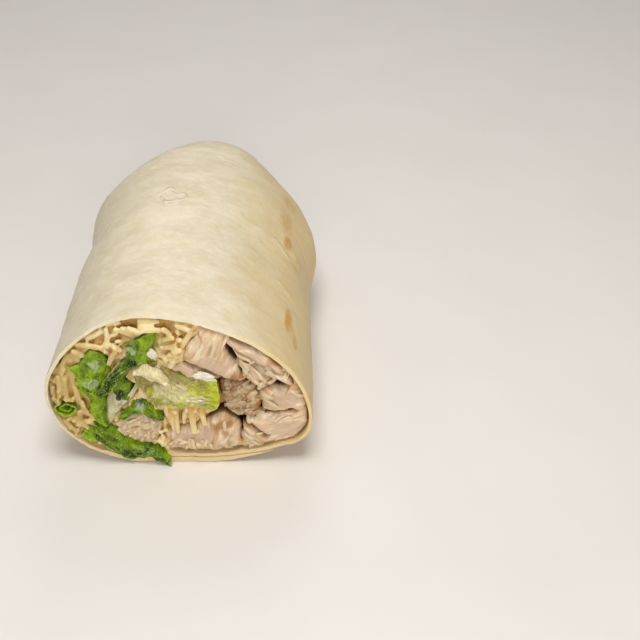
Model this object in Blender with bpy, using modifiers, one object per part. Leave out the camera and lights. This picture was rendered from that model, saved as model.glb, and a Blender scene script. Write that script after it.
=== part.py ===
"""One half of a chicken caesar wrap: a flour tortilla rolled round chicken, romaine and shredded cheese.

The roll is cut across with a knife and lies on its seam. The cut face looks towards -Y, the tucked end
towards +Y, and the origin is under the middle of the roll, on the surface that it rests on. Shapes are
worked out in millimetres, +Z up, and written to the meshes in metres.
"""

import math
import random

import bmesh
import bpy
from mathutils import Matrix, Vector, noise

MM = 0.001

# Driving dimensions, in millimetres.
ROLL_LENGTH = 127.0
CUT_Y = -ROLL_LENGTH / 2
SHEET = 1.6  # thickness of the tortilla
LAYER_PITCH = 2.0  # from one layer of tortilla to the next, where the roll overlaps itself
ROOM = 0.9  # between the tortilla and its filling
LEAF = 0.6  # thickness of romaine
SLOT = 1.8  # width of the slot in the cheese that a leaf lies in
SHRED_WIDTH = 1.7
SHRED_THICKNESS = 1.2
PEPPERCORN_RADIUS = 0.6
CORE_DEPTH = 2.8  # how far the packed cheese lies behind the cut, under its loose shreds
CHUNK_GAP = 0.25  # how far a piece of chicken keeps inside its outline
FIT_GAP = 0.4  # round a rib or a rolled leaf, in the cheese

# The roll's outside at the cut, as (x, z), anticlockwise from under its middle. It is flat below.
OUTLINE = (
    (-3, 0), (9, 0), (18.5, 1.1), (28, 3.2), (36.6, 7.8), (40, 17.4), (37.2, 30), (30, 40.2),
    (17.5, 49), (2, 54.3), (-12, 54.8), (-23, 51), (-32, 43.3), (-37.6, 34), (-38.9, 25), (-36, 14),
    (-28, 5.2), (-15, 0),
)  # fmt: skip
HEART = Vector((0, 26))  # a point in the middle of the section

# Along the roll: (y, width scale, height scale, lift). The last rows turn inwards, as the tucked end.
ROLL = (
    (CUT_Y, 1.00, 1.00, 0), (-45, 0.992, 1.005, 0), (-28, 0.985, 1.01, 0), (-12, 0.975, 1.015, 0),
    (4, 0.966, 1.02, 0), (20, 0.978, 1.01, 0), (32, 0.98, 0.995, 0.1), (42, 0.955, 0.965, 0.5),
    (50, 0.89, 0.90, 1.6), (56.5, 0.80, 0.80, 4.2), (61.2, 0.69, 0.65, 8.5), (63.5, 0.57, 0.47, 13.8),
    (62.6, 0.48, 0.31, 18.4), (58.5, 0.42, 0.13, 23.3), (52, 0.39, 0.03, 26.0),
)  # fmt: skip
ROWS = len(ROLL) - 1
ROUND_STEPS = 40  # steps once round the roll
OVERLAP_STEPS = 10  # steps where the outer flap lies under the inner edge
EASE_STEPS = 3  # steps over which the inner layer comes out to the outside
SEAM_X = -24  # where the inner edge starts, under the filling

# Soft swellings of the roll, and dents where the height is below 0: centre, reach, height.
BULGES = (
    ((41, 21, 24), 11, 1.9), ((40, -5, 26), 9, -1.0), ((34, 52, 38), 15, -2.4), ((9, 53, 50), 13, 2.0),
    ((-27, 54, 46), 18, -4.9), ((-38, 6, 34), 13, -1.6), ((-38, 29, 34), 9, 0.3), ((-12, -8, 56), 22, 0.9),
    ((20, 16, 50), 17, 1.3), ((12, -44, 53), 16, 0.7),
)  # fmt: skip
FLAT_HEIGHT = 12  # they fade out below this height

# The filling narrows with the roll: (y, width scale, height scale, lift).
FILLING = (
    (CUT_Y, 1.00, 1.00, 0), (8, 0.90, 0.985, 0), (30, 0.88, 0.94, 0.8), (49, 0.72, 0.75, 5.6),
)  # fmt: skip

# Chicken at the cut: name, depth of the front behind the cut, how far it bulges, outline.
CHICKEN = (
    ("chicken_fanned", 1.0, 1.6, (
        (2.1, 38.2), (3.3, 44.9), (7, 48.2), (10.9, 51.5), (14.2, 49.5), (15.5, 46.6), (14.6, 42.3),
        (16.9, 39.6), (18.9, 35.5), (20.1, 31), (16.8, 31), (14.2, 31.9), (9.9, 34.6), (6.8, 35.7))),
    ("chicken_lobe", 1.8, 1.0, (
        (-1.1, 35.5), (1.5, 37.9), (6.8, 35.4), (9.9, 34.3), (13.4, 31.8), (10.4, 31.7), (6, 31.8),
        (2.7, 31.9))),
    ("chicken_flaked", 0.8, 1.4, (
        (15.5, 46.2), (17, 48.6), (21.2, 47.6), (25.4, 43.9), (28.5, 40.2), (31.1, 36.8), (33.7, 32.7),
        (35.1, 29.8), (32.1, 30.3), (28.9, 32.7), (27.3, 36.8), (22.5, 38.2), (17.6, 40.4))),
    ("chicken_wedge", 2.2, 1.2, (
        (17.6, 39.9), (22.5, 37.9), (27.1, 36.4), (28.2, 32.4), (28.3, 28.7), (24.4, 27.9), (20.6, 31),
        (19.2, 35.5))),
    ("chicken_pulled", 2.2, 1.6, (
        (12.6, 25.7), (12.4, 30.9), (17.3, 30.6), (20, 30.6), (24.2, 27.6), (24.4, 23), (24.7, 19.3),
        (20.7, 17.1), (17.9, 16.6), (14.6, 19.4))),
    ("chicken_rounded", 1.6, 1.8, (
        (28.4, 28.4), (34.2, 29.2), (36.4, 25.7), (38.4, 20.9), (33, 20.2), (28.5, 18.9), (24.9, 19.5),
        (24.6, 23.4), (24.5, 27.5))),
    ("chicken_striped", 1.0, 1.2, (
        (19.8, 16.3), (24.6, 18.4), (33, 19.9), (39, 20.2), (39.5, 14.9), (37.9, 9), (35.1, 7.1),
        (31.7, 6), (26.1, 9.9), (21.9, 13.6))),
    ("chicken_tip", 1.6, 1.0, (
        (18.8, 14.8), (21.7, 13.4), (26.1, 9.6), (29.4, 7.6), (27.6, 5), (19.2, 4.6), (18.7, 10.5))),
    ("chicken_low", 1.2, 1.6, (
        (-6, 10.7), (-1.3, 13.5), (3.8, 13.5), (7.9, 17.1), (13.6, 19.2), (17.3, 16.1), (18.4, 14),
        (18.3, 4), (8, 4), (0, 4.4), (-3.7, 7))),
    ("chicken_minced", 1.6, 1.6, (
        (-20.9, 14.2), (-17.8, 16), (-13.6, 18.7), (-11, 17.9), (-6.9, 15.5), (-6.4, 12.7), (-6.9, 9.2),
        (-11.9, 7), (-15, 8.2), (-18.6, 11.2))),
)  # fmt: skip

# The white rib of a leaf, cut across.
RIB = (
    (-21.7, 23.4), (-19.2, 23.9), (-15.4, 23.9), (-12.6, 25.6), (-15.6, 21.7), (-18.6, 18), (-21.5, 15),
    (-22.3, 18),
)  # fmt: skip

# Romaine: name, where its tail ends, how far behind the cut its free edge lies, free edge, turning edge.
# The leaf shows its face between the two edges, and turns back into the roll at the second.
LEAVES = (
    ("romaine_left", 20, 0.3,
     ((-31.7, 37.2), (-29.7, 31.3), (-29, 27.8), (-26.8, 25.7)),
     ((-21.6, 40.6), (-20.9, 35.2), (-22.9, 30.6), (-23.1, 26))),
    ("romaine_long", 26, -0.1,
     ((-13.4, 45.6), (-13.4, 39.9), (-17.2, 37.2), (-20.3, 33.4), (-21.7, 29.4), (-22.1, 26)),
     ((-5.6, 48.8), (-6, 43), (-9.2, 39.2), (-13.4, 34.6), (-17.4, 30.8), (-20.2, 26.2))),
    ("romaine_tip", 6, 0.1,
     ((-27.4, 24.6), (-26.6, 20), (-25.4, 16.6), (-23.8, 14.6)),
     ((-23.2, 24.4), (-23.5, 20), (-23.4, 17.4), (-22.8, 14.9))),
    ("romaine_peppered", 2, 0.2,
     ((-18.2, 27.2), (-17.9, 25.9), (-17.2, 24.9)),
     ((-15.7, 30.2), (-14.9, 28), (-14.2, 25.8))),
    ("romaine_folded", 14, 0,
     ((-18, 17.6), (-14.9, 19.2), (-11.9, 19.9), (-9.2, 18.4), (-6.4, 16.7)),
     ((-15.2, 21), (-13.4, 22.9), (-11, 23.6), (-8.4, 21.7), (-5.6, 19.4))),
    ("romaine_low", 26, -0.1,
     ((-26.2, 11.6), (-24.2, 8.8), (-21.4, 6.8), (-17.6, 5.2), (-13.6, 5.1)),
     ((-26, 15.4), (-23, 12.6), (-19.4, 9.4), (-16.4, 6.8), (-12.6, 5.7))),
    ("romaine_pale", 26, -0.3,
     ((-11.6, 31), (-8.6, 26.6), (-6.6, 21.8), (0.5, 21.6), (5.4, 21.8), (9.6, 20.9), (11.6, 23.5)),
     ((-12.8, 32.2), (-10.6, 35.2), (-7, 35.2), (-3.4, 32.2), (1.5, 30.4), (7, 30.4), (11.2, 28.4))),
    ("romaine_scrap", -20, 0.4,
     ((-29.4, 11.8), (-27.4, 9.8)),
     ((-28.6, 14), (-27.2, 12.6))),
)  # fmt: skip
TURN_DEPTH = 1.9  # how far behind the cut a leaf turns back into the roll

# A leaf tip that hangs out over the tortilla's edge: its free edge and the edge where it turns back.
POKE_EDGE = ((-10.6, 1.0), (-7, 0.5), (-3.6, 1.2))
POKE_TURN = ((-11.6, 5.9), (-8.2, 6.0), (-4.9, 5.6))
POKE_DEPTHS = (-1.4, -0.5)  # both lie in front of the cut
POKE_END = -40

# The small rolled-up leaf at the left.
CURL_CENTRE = Vector((-33.6, 20.8))
CURL_RADIUS = 2.5
CURL_TURNS = 1.15
CURL_LENGTH = 28

# The packed cheese fills the roll's left. Its edge along the chicken, from below upwards.
CHEESE_EDGE = (
    (-14.6, 4), (-14.6, 6.9), (-19.2, 10.8), (-21.3, 14.8), (-13.8, 19.3), (-11, 18.4), (-6.4, 16),
    (-6, 12.9), (-1.6, 14.2), (3.4, 14.2), (7.2, 17.6), (13.4, 19.9), (12, 25), (11.8, 31.2), (1.9, 31.2),
    (-2.1, 36), (1.2, 39), (2.2, 45.2), (6.2, 49.2), (8, 60),
)  # fmt: skip
SHRED_SPACING = 3.2
SHRED_CLEAR = 0.65  # between a loose shred and any other piece
LYING_ATTEMPTS = 13

# Thick dressing: name, centre, half width and height, half thickness.
DRESSING = (
    ("dressing_dollop", (8.2, 33.2), (2.9, 1.5), 0.8),
    ("dressing_dab", (-7.2, 41.9), (1.3, 1.7), 0.5),
)  # fmt: skip
DRESSING_OUT = 1.3  # in front of the cut


def smooth_through(points, count, closed=False):
    """count points, evenly spaced, on a Catmull-Rom curve through the given ones."""
    knots = [Vector(p) for p in points]
    last = len(knots) - 1
    fine = 12

    def knot(i):
        return knots[i % (last + 1)] if closed else knots[min(max(i, 0), last)]

    line = []
    for i in range(last + 1 if closed else last):
        a, b, c, d = (knot(i + k) for k in (-1, 0, 1, 2))
        for step in range(fine):
            t = step / fine
            bend = (2 * a - 5 * b + 4 * c - d) * t**2 + (3 * b - a - 3 * c + d) * t**3
            line.append((2 * b + (c - a) * t + bend) / 2)
    line.append(knot(0) if closed else knots[-1])
    return even_steps(line, count, closed)


def even_steps(line, count, closed=False):
    """count points, evenly spaced, along a line of points. A closed line ends where it starts."""
    run = [0.0]
    for a, b in zip(line, line[1:]):
        run.append(run[-1] + (b - a).length)
    found, at = [], 0
    for i in range(count):
        want = run[-1] * i / (count if closed else count - 1)
        while at < len(run) - 2 and run[at + 1] < want:
            at += 1
        share = (want - run[at]) / (run[at + 1] - run[at])
        found.append(line[at].lerp(line[at + 1], min(share, 1)))
    return found


def ruffle(point, size, seed):
    """A smooth random number from -1 to 1 at a point, the same on every run."""
    return noise.noise(Vector(point) / size + Vector((seed * 7.3, seed * 3.1, seed * 5.7)))


def smoothstep(share):
    share = min(max(share, 0), 1)
    return share * share * (3 - 2 * share)


# Materials and objects.


def material(name, colour, roughness):
    made = bpy.data.materials.new(name)
    made.use_nodes = True
    shader = made.node_tree.nodes["Principled BSDF"]
    shader.inputs["Base Color"].default_value = (*colour, 1)
    shader.inputs["Roughness"].default_value = roughness
    return made


def add_object(name, shape, finish, collection):
    """A mesh object from a bmesh in millimetres. The bmesh is freed."""
    shape.transform(Matrix.Scale(MM, 4))
    bmesh.ops.recalc_face_normals(shape, faces=shape.faces)
    mesh = bpy.data.meshes.new(name)
    shape.to_mesh(mesh)
    shape.free()
    made = bpy.data.objects.new(name, mesh)
    collection.objects.link(made)
    mesh.materials.append(finish)
    return made


def bake(obj):
    """Applies an object's modifiers to its mesh."""
    bpy.context.view_layer.update()
    graph = bpy.context.evaluated_depsgraph_get()
    made = bpy.data.meshes.new_from_object(obj.evaluated_get(graph))
    obj.modifiers.clear()
    obj.data = made


def boolean(obj, operation, shapes, finish, solver="EXACT"):
    """Joins shapes to an object, or cuts them from it, all at once, and removes them."""
    tools = bpy.data.collections.new(obj.name + "_tools")
    bpy.context.scene.collection.children.link(tools)
    made = [add_object(f"{obj.name}_tool_{i}", shape, finish, tools) for i, shape in enumerate(shapes)]
    change = obj.modifiers.new(operation.lower(), "BOOLEAN")
    change.operation = operation
    change.operand_type = "COLLECTION"
    change.collection = tools
    change.solver = solver
    bake(obj)
    for tool in made:
        bpy.data.objects.remove(tool)
    bpy.data.collections.remove(tools)


def keep_largest_body(obj):
    """Drops the loose scraps that a cut leaves."""
    shape = bmesh.new()
    shape.from_mesh(obj.data)
    bodies, seen = [], set()
    for start in shape.verts:
        if start in seen:
            continue
        body, front = [], [start]
        seen.add(start)
        while front:
            vert = front.pop()
            body.append(vert)
            for edge in vert.link_edges:
                other = edge.other_vert(vert)
                if other not in seen:
                    seen.add(other)
                    front.append(other)
        bodies.append(body)
    bodies.sort(key=len)
    bmesh.ops.delete(shape, geom=[vert for body in bodies[:-1] for vert in body], context="VERTS")
    shape.to_mesh(obj.data)
    shape.free()


# The tortilla.


def inner_share(step):
    """How far a step round the roll belongs to the inner layer: 1 under the filling, 0 on the outside."""
    return smoothstep((OVERLAP_STEPS + EASE_STEPS - step) / EASE_STEPS)


def outline_from_seam():
    """The roll's outside at the cut, in even steps anticlockwise, from where the inner edge starts."""
    outline = [Vector((x, max(z, 0))) for x, z in smooth_through(OUTLINE, ROUND_STEPS, closed=True)]
    low = [i for i, point in enumerate(outline) if point.y < HEART.y and point.x <= SEAM_X]
    seam = max(low, key=lambda i: outline[i].x)
    return outline[seam:] + outline[:seam]


def wall():
    """The space inside the tortilla at the cut, as a closed outline."""
    outline = outline_from_seam()
    inside = []
    for step, point in enumerate(outline):
        along = (outline[(step + 1) % ROUND_STEPS] - outline[step - 1]).normalized()
        inwards = Vector((-along.y, along.x))
        inside.append(point + inwards * (SHEET + LAYER_PITCH * inner_share(step) + ROOM))
    return inside


def hold_inside(point, room):
    """Pulls a point of the section towards the middle until it lies in the room."""
    reach = point - HEART
    for a, b in zip(room, room[1:] + room[:1]):
        edge, start = b - a, a - HEART
        slope = reach.x * edge.y - reach.y * edge.x
        if abs(slope) < 1e-9:
            continue
        outwards = (start.x * edge.y - start.y * edge.x) / slope
        along = (start.x * reach.y - start.y * reach.x) / slope
        if 0 < outwards < 1 and 0 <= along <= 1:
            return HEART + reach * outwards
    return point


def grid_sheet(columns, rows, place):
    """A sheet of triangles whose grid point (column, row) lies at place(column, row)."""
    shape = bmesh.new()
    points = [[shape.verts.new(place(i, j)) for j in range(rows + 1)] for i in range(columns + 1)]
    for i in range(columns):
        for j in range(rows):
            shape.faces.new((points[i][j], points[i + 1][j], points[i + 1][j + 1], points[i][j + 1]))
    bmesh.ops.triangulate(shape, faces=shape.faces)
    return shape


def thicken(sheet, thickness):
    solid = sheet.modifiers.new("thickness", "SOLIDIFY")
    solid.thickness = thickness * MM
    solid.offset = 0


def make_tortilla(finish, collection):
    outline = outline_from_seam()
    skin = [[Vector((x * wide, y, z * high + lift)) for x, z in outline] for y, wide, high, lift in ROLL]

    def swelling(point):
        total = 0
        for centre, reach, height in BULGES:
            total += height * math.exp(-(((point - Vector(centre)).length / reach) ** 2))
        return total * smoothstep(point.z / FLAT_HEIGHT)  # none where the roll lies flat

    def place(step, row):
        i = step % ROUND_STEPS
        along = skin[min(row + 1, ROWS)][i] - skin[max(row - 1, 0)][i]
        round_it = skin[row][(i + 1) % ROUND_STEPS] - skin[row][i - 1]
        outwards = along.cross(round_it).normalized()
        point = skin[row][i]
        return point + outwards * (swelling(point) - SHEET / 2 - LAYER_PITCH * inner_share(step))

    sheet = grid_sheet(ROUND_STEPS + OVERLAP_STEPS, ROWS, place)
    thicken(add_object("tortilla", sheet, finish, collection), SHEET)


# The filling's shapes. They are built straight, and settle into the roll at the end.

CHUNK_SIDES = 18
CHUNK_CRAGS = 0.9  # how deep the unevenness of its front is
# The rings of points on a chunk's front: share of its outline, share of its bulge behind the front.
CHUNK_FRONT = ((0.28, -1.0), (0.58, -0.85), (0.82, -0.5), (0.96, 0), (1.0, 0.9))


def settle(shape):
    """Narrows a shape of the filling along its length, as the roll does."""
    for vert in shape.verts:
        x, y, z = vert.co
        spans = list(zip(FILLING, FILLING[1:]))
        near, far = next((span for span in spans if y <= span[1][0]), spans[-1])
        share = max((y - near[0]) / (far[0] - near[0]), 0)
        wide, high, lift = (a + (b - a) * share for a, b in zip(near[1:], far[1:]))
        vert.co = (x * wide, y, z * high + lift)
    return shape


def inset(outline, distance):
    """A closed outline moved inwards by a distance."""
    anticlockwise = sum(a.cross(b) for a, b in zip(outline, outline[1:] + outline[:1])) > 0
    moved = []
    for i, point in enumerate(outline):
        along = (outline[(i + 1) % len(outline)] - outline[i - 1]).normalized()
        left = Vector((-along.y, along.x))
        moved.append(point + left * (distance if anticlockwise else -distance))
    return moved


def loft(rings):
    """A closed solid through rings of equal counts of points, with a point in the middle of each end."""
    shape = bmesh.new()
    loops = [[shape.verts.new(point) for point in ring] for ring in rings]
    for near, far in zip(loops, loops[1:]):
        for i in range(len(near)):
            shape.faces.new((near[i - 1], near[i], far[i], far[i - 1]))
    for loop in (loops[0], loops[-1]):
        middle = shape.verts.new(sum((vert.co for vert in loop), Vector()) / len(loop))
        for i in range(len(loop)):
            shape.faces.new((loop[i - 1], loop[i], middle))
    bmesh.ops.triangulate(shape, faces=shape.faces)
    return shape


def prism(outline, stations):
    """A closed solid with the same outline at each station."""
    shape = bmesh.new()
    loops = [[shape.verts.new((p.x, y, p.y)) for p in outline] for y in stations]
    for near, far in zip(loops, loops[1:]):
        for i in range(len(outline)):
            shape.faces.new((near[i - 1], near[i], far[i], far[i - 1]))
    shape.faces.new(loops[0])
    shape.faces.new(loops[-1])
    bmesh.ops.triangulate(shape, faces=shape.faces)
    return shape


def chunk(outline, depth, bulge, room, seed):
    """A torn piece that runs through the roll, its ragged front depth behind the cut and bulging out."""
    closed = [Vector(p) for p in (*outline, outline[0])]
    edge = inset([hold_inside(p, room) for p in even_steps(closed, CHUNK_SIDES, True)], CHUNK_GAP)
    middle = sum(edge, Vector((0, 0))) / CHUNK_SIDES
    rings = []
    for size, back in CHUNK_FRONT:
        ring = [middle + (p - middle) * size for p in edge]
        y = CUT_Y + depth + bulge * back
        rings.append([(p.x, y + CHUNK_CRAGS * ruffle((p.x, 0, p.y), 2.3, seed), p.y) for p in ring])
    rings += [[(p.x, station[0], p.y) for p in edge] for station in FILLING[1:]]
    return settle(loft(rings))


def strip(centre, length, width, thickness, bend, heading, pitch, roll):
    """A bent bar with square ends: a shred of cheese, or a pulled fibre.

    It bends in the plane of the cut. heading turns it in that plane, pitch turns its end into the roll,
    and roll turns it about its length.
    """
    shape = bmesh.new()
    bmesh.ops.create_cube(shape, size=1)
    lengthwise = [e for e in shape.edges if abs(e.verts[0].co.x - e.verts[1].co.x) > 0.5]
    bmesh.ops.subdivide_edges(shape, edges=lengthwise, cuts=2)
    radius = length / bend
    for vert in shape.verts:
        angle = vert.co.x * bend
        reach = radius - vert.co.z * width
        vert.co = (reach * math.sin(angle), vert.co.y * thickness, radius - reach * math.cos(angle))
    bmesh.ops.triangulate(shape, faces=shape.faces)
    turned = Matrix.Rotation(pitch, 4, "Z") @ Matrix.Rotation(roll, 4, "X")
    shape.transform(Matrix.Translation(centre) @ Matrix.Rotation(-heading, 4, "Y") @ turned)
    return settle(shape)


# Chicken.

# Pulled strands on the ragged pieces: node, count, seed, where they lie: centre, reach across and up.
STRANDS = (
    ("chicken_pulled", 11, 5, (18.4, 25), (4.6, 5.2)),
    ("chicken_minced", 6, 8, (-13.4, 12.8), (4.6, 2.8)),
    ("chicken_low", 6, 11, (7, 9), (7.5, 3)),
)
STRAND_WIDTH = 1.3
STRAND_THICKNESS = 1.1


def strands(count, seed, centre, reach):
    """Short pulled strands that lie on the front of a piece and sink into it at one end."""
    random.seed(seed)
    made = []
    for _ in range(count):
        at = Vector((random.uniform(-1, 1) * reach[0], 0, random.uniform(-1, 1) * reach[1]))
        at += Vector((centre[0], CUT_Y + random.uniform(0.6, 1.8), centre[1]))
        heading, pitch = random.uniform(0, math.pi), random.uniform(0.1, 0.5)
        length, bend = random.uniform(4, 6.5), random.uniform(0.15, 0.7)
        made.append(strip(at, length, STRAND_WIDTH, STRAND_THICKNESS, bend, heading, pitch, 0.3))
    return made


def make_chicken(finish, collection):
    room = wall()
    for seed, (name, depth, bulge, outline) in enumerate(CHICKEN, 1):
        add_object(name, chunk(outline, depth, bulge, room, seed), finish, collection)
    for name, count, seed, centre, reach in STRANDS:
        boolean(bpy.data.objects[name], "UNION", strands(count, seed, centre, reach), finish)


# Romaine.

BLADE_ROWS = (0, 0.25, 0.5, 0.75)  # rows of a leaf's mesh, as shares of its length
TAIL_ROWS = (1, 1.5, 2)
TAIL_TAPER = 0.4  # how much narrower a leaf is at its tail's end
TAIL_WAVE = 0.5
LEAF_CRINKLE = 0.5


def leaf_surface(free_edge, turn_edge, free_depth, turn_depth, tail_end, seed):
    """A leaf as a function of (across, along): a blade that shows at the cut, then a tail into the roll.

    across runs from 0 to 1 along the edges. along runs from 0 at the free edge to 1 where the leaf turns
    back, and on to 2 at the tail's end. Past those limits it goes straight on, for the slot round it.
    """
    fine = 24
    free, turn = (smooth_through(edge, fine + 1) for edge in (free_edge, turn_edge))

    def on(line, share):
        i = min(max(int(share * fine), 0), fine - 1)
        return line[i].lerp(line[i + 1], share * fine - i)

    def place(across, along):
        blade, tail = min(along, 1), max(along - 1, 0)
        narrow = 0.5 + (across - 0.5) * (1 - TAIL_TAPER * tail)
        edge = on(turn, narrow)
        point = on(free, across).lerp(edge, blade)
        y = CUT_Y + free_depth + (turn_depth - free_depth) * blade**3
        y += LEAF_CRINKLE * ruffle((point.x, 0, point.y), 3.2, seed) * (1 - blade**3)
        y += tail * (tail_end - y)
        slope = (on(turn, narrow + 0.02) - on(turn, narrow - 0.02)).normalized()
        point += Vector((-slope.y, slope.x)) * TAIL_WAVE * math.sin(7 * tail + seed) * tail
        return Vector((point.x, y, point.y))

    return place


def leaf_sheet(place, columns, rows, spare=0.0):
    """A sheet over a leaf's surface, with rows at these shares of its length and spare at its sides."""

    def at(i, j):
        return place(-spare + (1 + 2 * spare) * i / columns, rows[j])

    return settle(grid_sheet(columns, len(rows) - 1, at))


def circle(centre, radius, sides):
    """A closed outline round a centre."""
    turns = (2 * math.pi * i / sides for i in range(sides))
    return [centre + Vector((math.cos(turn), math.sin(turn))) * radius for turn in turns]


def rolled_leaf():
    """A small leaf rolled up round its length, with its roll's end showing."""
    columns, rows = 14, 4

    def at(i, j):
        share = i / columns
        turn = 0.5 + 2 * math.pi * CURL_TURNS * share
        radius = CURL_RADIUS - 1.1 * share
        y = CUT_Y + 0.3 + CURL_LENGTH * j / rows + LEAF_CRINKLE * math.sin(i)
        return (CURL_CENTRE.x + math.cos(turn) * radius, y, CURL_CENTRE.y + math.sin(turn) * radius)

    return settle(grid_sheet(columns, rows, at))


def make_romaine(finish, rib_finish, collection):
    """The leaves and the rib. Returns closed shapes for the slots that they lie in."""
    add_object("romaine_rib", chunk(RIB, 1.0, 0.8, wall(), 12), rib_finish, collection)
    through = (CUT_Y, *(row[0] for row in FILLING[1:-1]), FILLING[-1][0] + 1)
    slots = [settle(prism(inset([Vector(p) for p in RIB], -FIT_GAP), through))]

    for seed, (name, tail_end, depth, free_edge, turn_edge) in enumerate(LEAVES, 1):
        place = leaf_surface(free_edge, turn_edge, depth, TURN_DEPTH, tail_end, seed)
        columns = max(4, len(free_edge))
        leaf = add_object(name, leaf_sheet(place, columns, BLADE_ROWS + TAIL_ROWS), finish, collection)
        thicken(leaf, LEAF)
        if name == "romaine_peppered":
            add_peppercorn(leaf, place(0.45, 0.4), finish)
        slots.append(thick_shape(leaf_sheet(place, columns, (*TAIL_ROWS, 2.06), 0.07), SLOT, finish))

    place = leaf_surface(POKE_EDGE, POKE_TURN, *POKE_DEPTHS, POKE_END, 9)
    poking = leaf_sheet(place, 5, BLADE_ROWS + TAIL_ROWS)
    thicken(add_object("romaine_poking", poking, finish, collection), LEAF)

    thicken(add_object("romaine_curled", rolled_leaf(), finish, collection), LEAF)
    round_curl = circle(CURL_CENTRE, CURL_RADIUS + LEAF / 2 + FIT_GAP, 12)
    slots.append(settle(prism(round_curl, (CUT_Y, CUT_Y + CURL_LENGTH + 1.5))))
    return slots


def thick_shape(sheet, thickness, finish):
    """A sheet made a closed solid, as a bmesh in millimetres."""
    temporary = add_object("slot", sheet, finish, bpy.context.scene.collection)
    thicken(temporary, thickness)
    bake(temporary)
    shape = bmesh.new()
    shape.from_mesh(temporary.data)
    shape.transform(Matrix.Scale(1 / MM, 4))
    bpy.data.objects.remove(temporary)
    return shape


def add_peppercorn(leaf, at, finish):
    """A crushed peppercorn, stuck to its leaf."""
    corn = bmesh.new()
    bmesh.ops.create_icosphere(corn, subdivisions=1, radius=PEPPERCORN_RADIUS)
    corn.transform(Matrix.Translation(at - Vector((0, PEPPERCORN_RADIUS, 0)) * 0.8))
    boolean(leaf, "UNION", [settle(corn)], finish)


# Cheese.


def cheese_outline(room):
    """The packed cheese at the cut: the space in the tortilla, left of the chicken."""
    right = [hold_inside(Vector(p), room) for p in CHEESE_EDGE]
    low_x, top_x = right[0].x, right[-1].x
    left = [p for p in room if p.x < (top_x if p.y > HEART.y else low_x)]
    left.sort(key=lambda p: math.atan2(p.y - HEART.y, p.x - HEART.x) % math.tau)
    return left + right


def distance_to(point, outline):
    """How far a point lies outside a closed outline. It is 0 inside."""
    inside, nearest = False, math.inf
    for a, b in zip(outline, outline[1:] + outline[:1]):
        side = b - a
        crosses = (a.y > point.y) != (b.y > point.y)
        if crosses and point.x < a.x + (point.y - a.y) / side.y * side.x:
            inside = not inside
        share = min(max((point - a).dot(side) / side.length_squared, 0), 1)
        nearest = min(nearest, (point - a.lerp(b, share)).length)
    return 0 if inside else nearest


def outlines_to_avoid():
    """The outlines at the cut of all that isn't cheese."""
    found = [[Vector(p) for p in outline] for outline in (RIB, *(row[-1] for row in CHICKEN))]
    found += [[Vector(p) for p in (*free, *reversed(turn))] for *_, free, turn in LEAVES]
    return found + [circle(CURL_CENTRE, CURL_RADIUS, 12)]


def loose_shred(place, attempt):
    """A shred near a place in the section. Later attempts are shorter, and the last ones lie end on."""
    end_on = attempt >= LYING_ATTEMPTS
    pitch = random.uniform(1.1, 1.4) if end_on else random.uniform(0.15, 0.5)
    length = random.uniform(6, 8) if end_on else random.uniform(0.8, 1) * (11 - 0.4 * attempt)
    back = math.sin(pitch) * length / 2 + random.uniform(-1.2, 1.2)
    bend, heading = random.uniform(0.1, 0.8), random.uniform(0, math.tau)
    roll = random.uniform(-0.4, 0.4)
    centre = Vector((place.x, CUT_Y + back, place.y))
    return strip(centre, length, SHRED_WIDTH, SHRED_THICKNESS, bend, heading, pitch, roll)


def shreds(core):
    """Loose shreds over the front of the packed cheese, sunk into it at one end, clear of all else."""
    random.seed(3)
    others = outlines_to_avoid()
    low = Vector((min(p.x for p in core), min(p.y for p in core)))
    high = Vector((max(p.x for p in core), max(p.y for p in core)))
    columns, rows = (int(extent / SHRED_SPACING) + 1 for extent in high - low)
    made = []
    for cell in range(columns * rows):
        corner = Vector((cell % columns, cell // columns))
        place = low + (corner + Vector((random.random(), random.random()))) * SHRED_SPACING
        for attempt in range(LYING_ATTEMPTS + 3):
            shape = loose_shred(place, attempt)
            spots = [vert.co.xz for vert in shape.verts]
            spots += [(a.co.xz + b.co.xz) / 2 for a, b in (edge.verts for edge in shape.edges)]
            fits = all(distance_to(spot, core) < ROOM - FIT_GAP for spot in spots)
            if fits and all(distance_to(spot, other) > SHRED_CLEAR for spot in spots for other in others):
                made.append(shape)
                break
            shape.free()
    return made


def make_cheese(slots, finish, collection):
    core = cheese_outline(wall())
    stations = [CUT_Y + CORE_DEPTH] + [station[0] for station in FILLING[1:]]
    cheese = add_object("cheese", settle(prism(core, stations)), finish, collection)
    boolean(cheese, "DIFFERENCE", slots, finish, solver="MANIFOLD")
    keep_largest_body(cheese)
    boolean(cheese, "UNION", shreds(core), finish)
    keep_largest_body(cheese)


# Dressing.


def make_dressing(finish, collection):
    for seed, (name, (x, z), (wide, high), deep) in enumerate(DRESSING, 20):
        blob = bmesh.new()
        bmesh.ops.create_icosphere(blob, subdivisions=2, radius=1)
        for vert in blob.verts:
            swell = 1 + 0.25 * ruffle(vert.co, 0.9, seed)
            across, out, up = vert.co
            vert.co = (x + across * wide * swell, CUT_Y - DRESSING_OUT + out * deep, z + up * high * swell)
        add_object(name, settle(blob), finish, collection)


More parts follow.
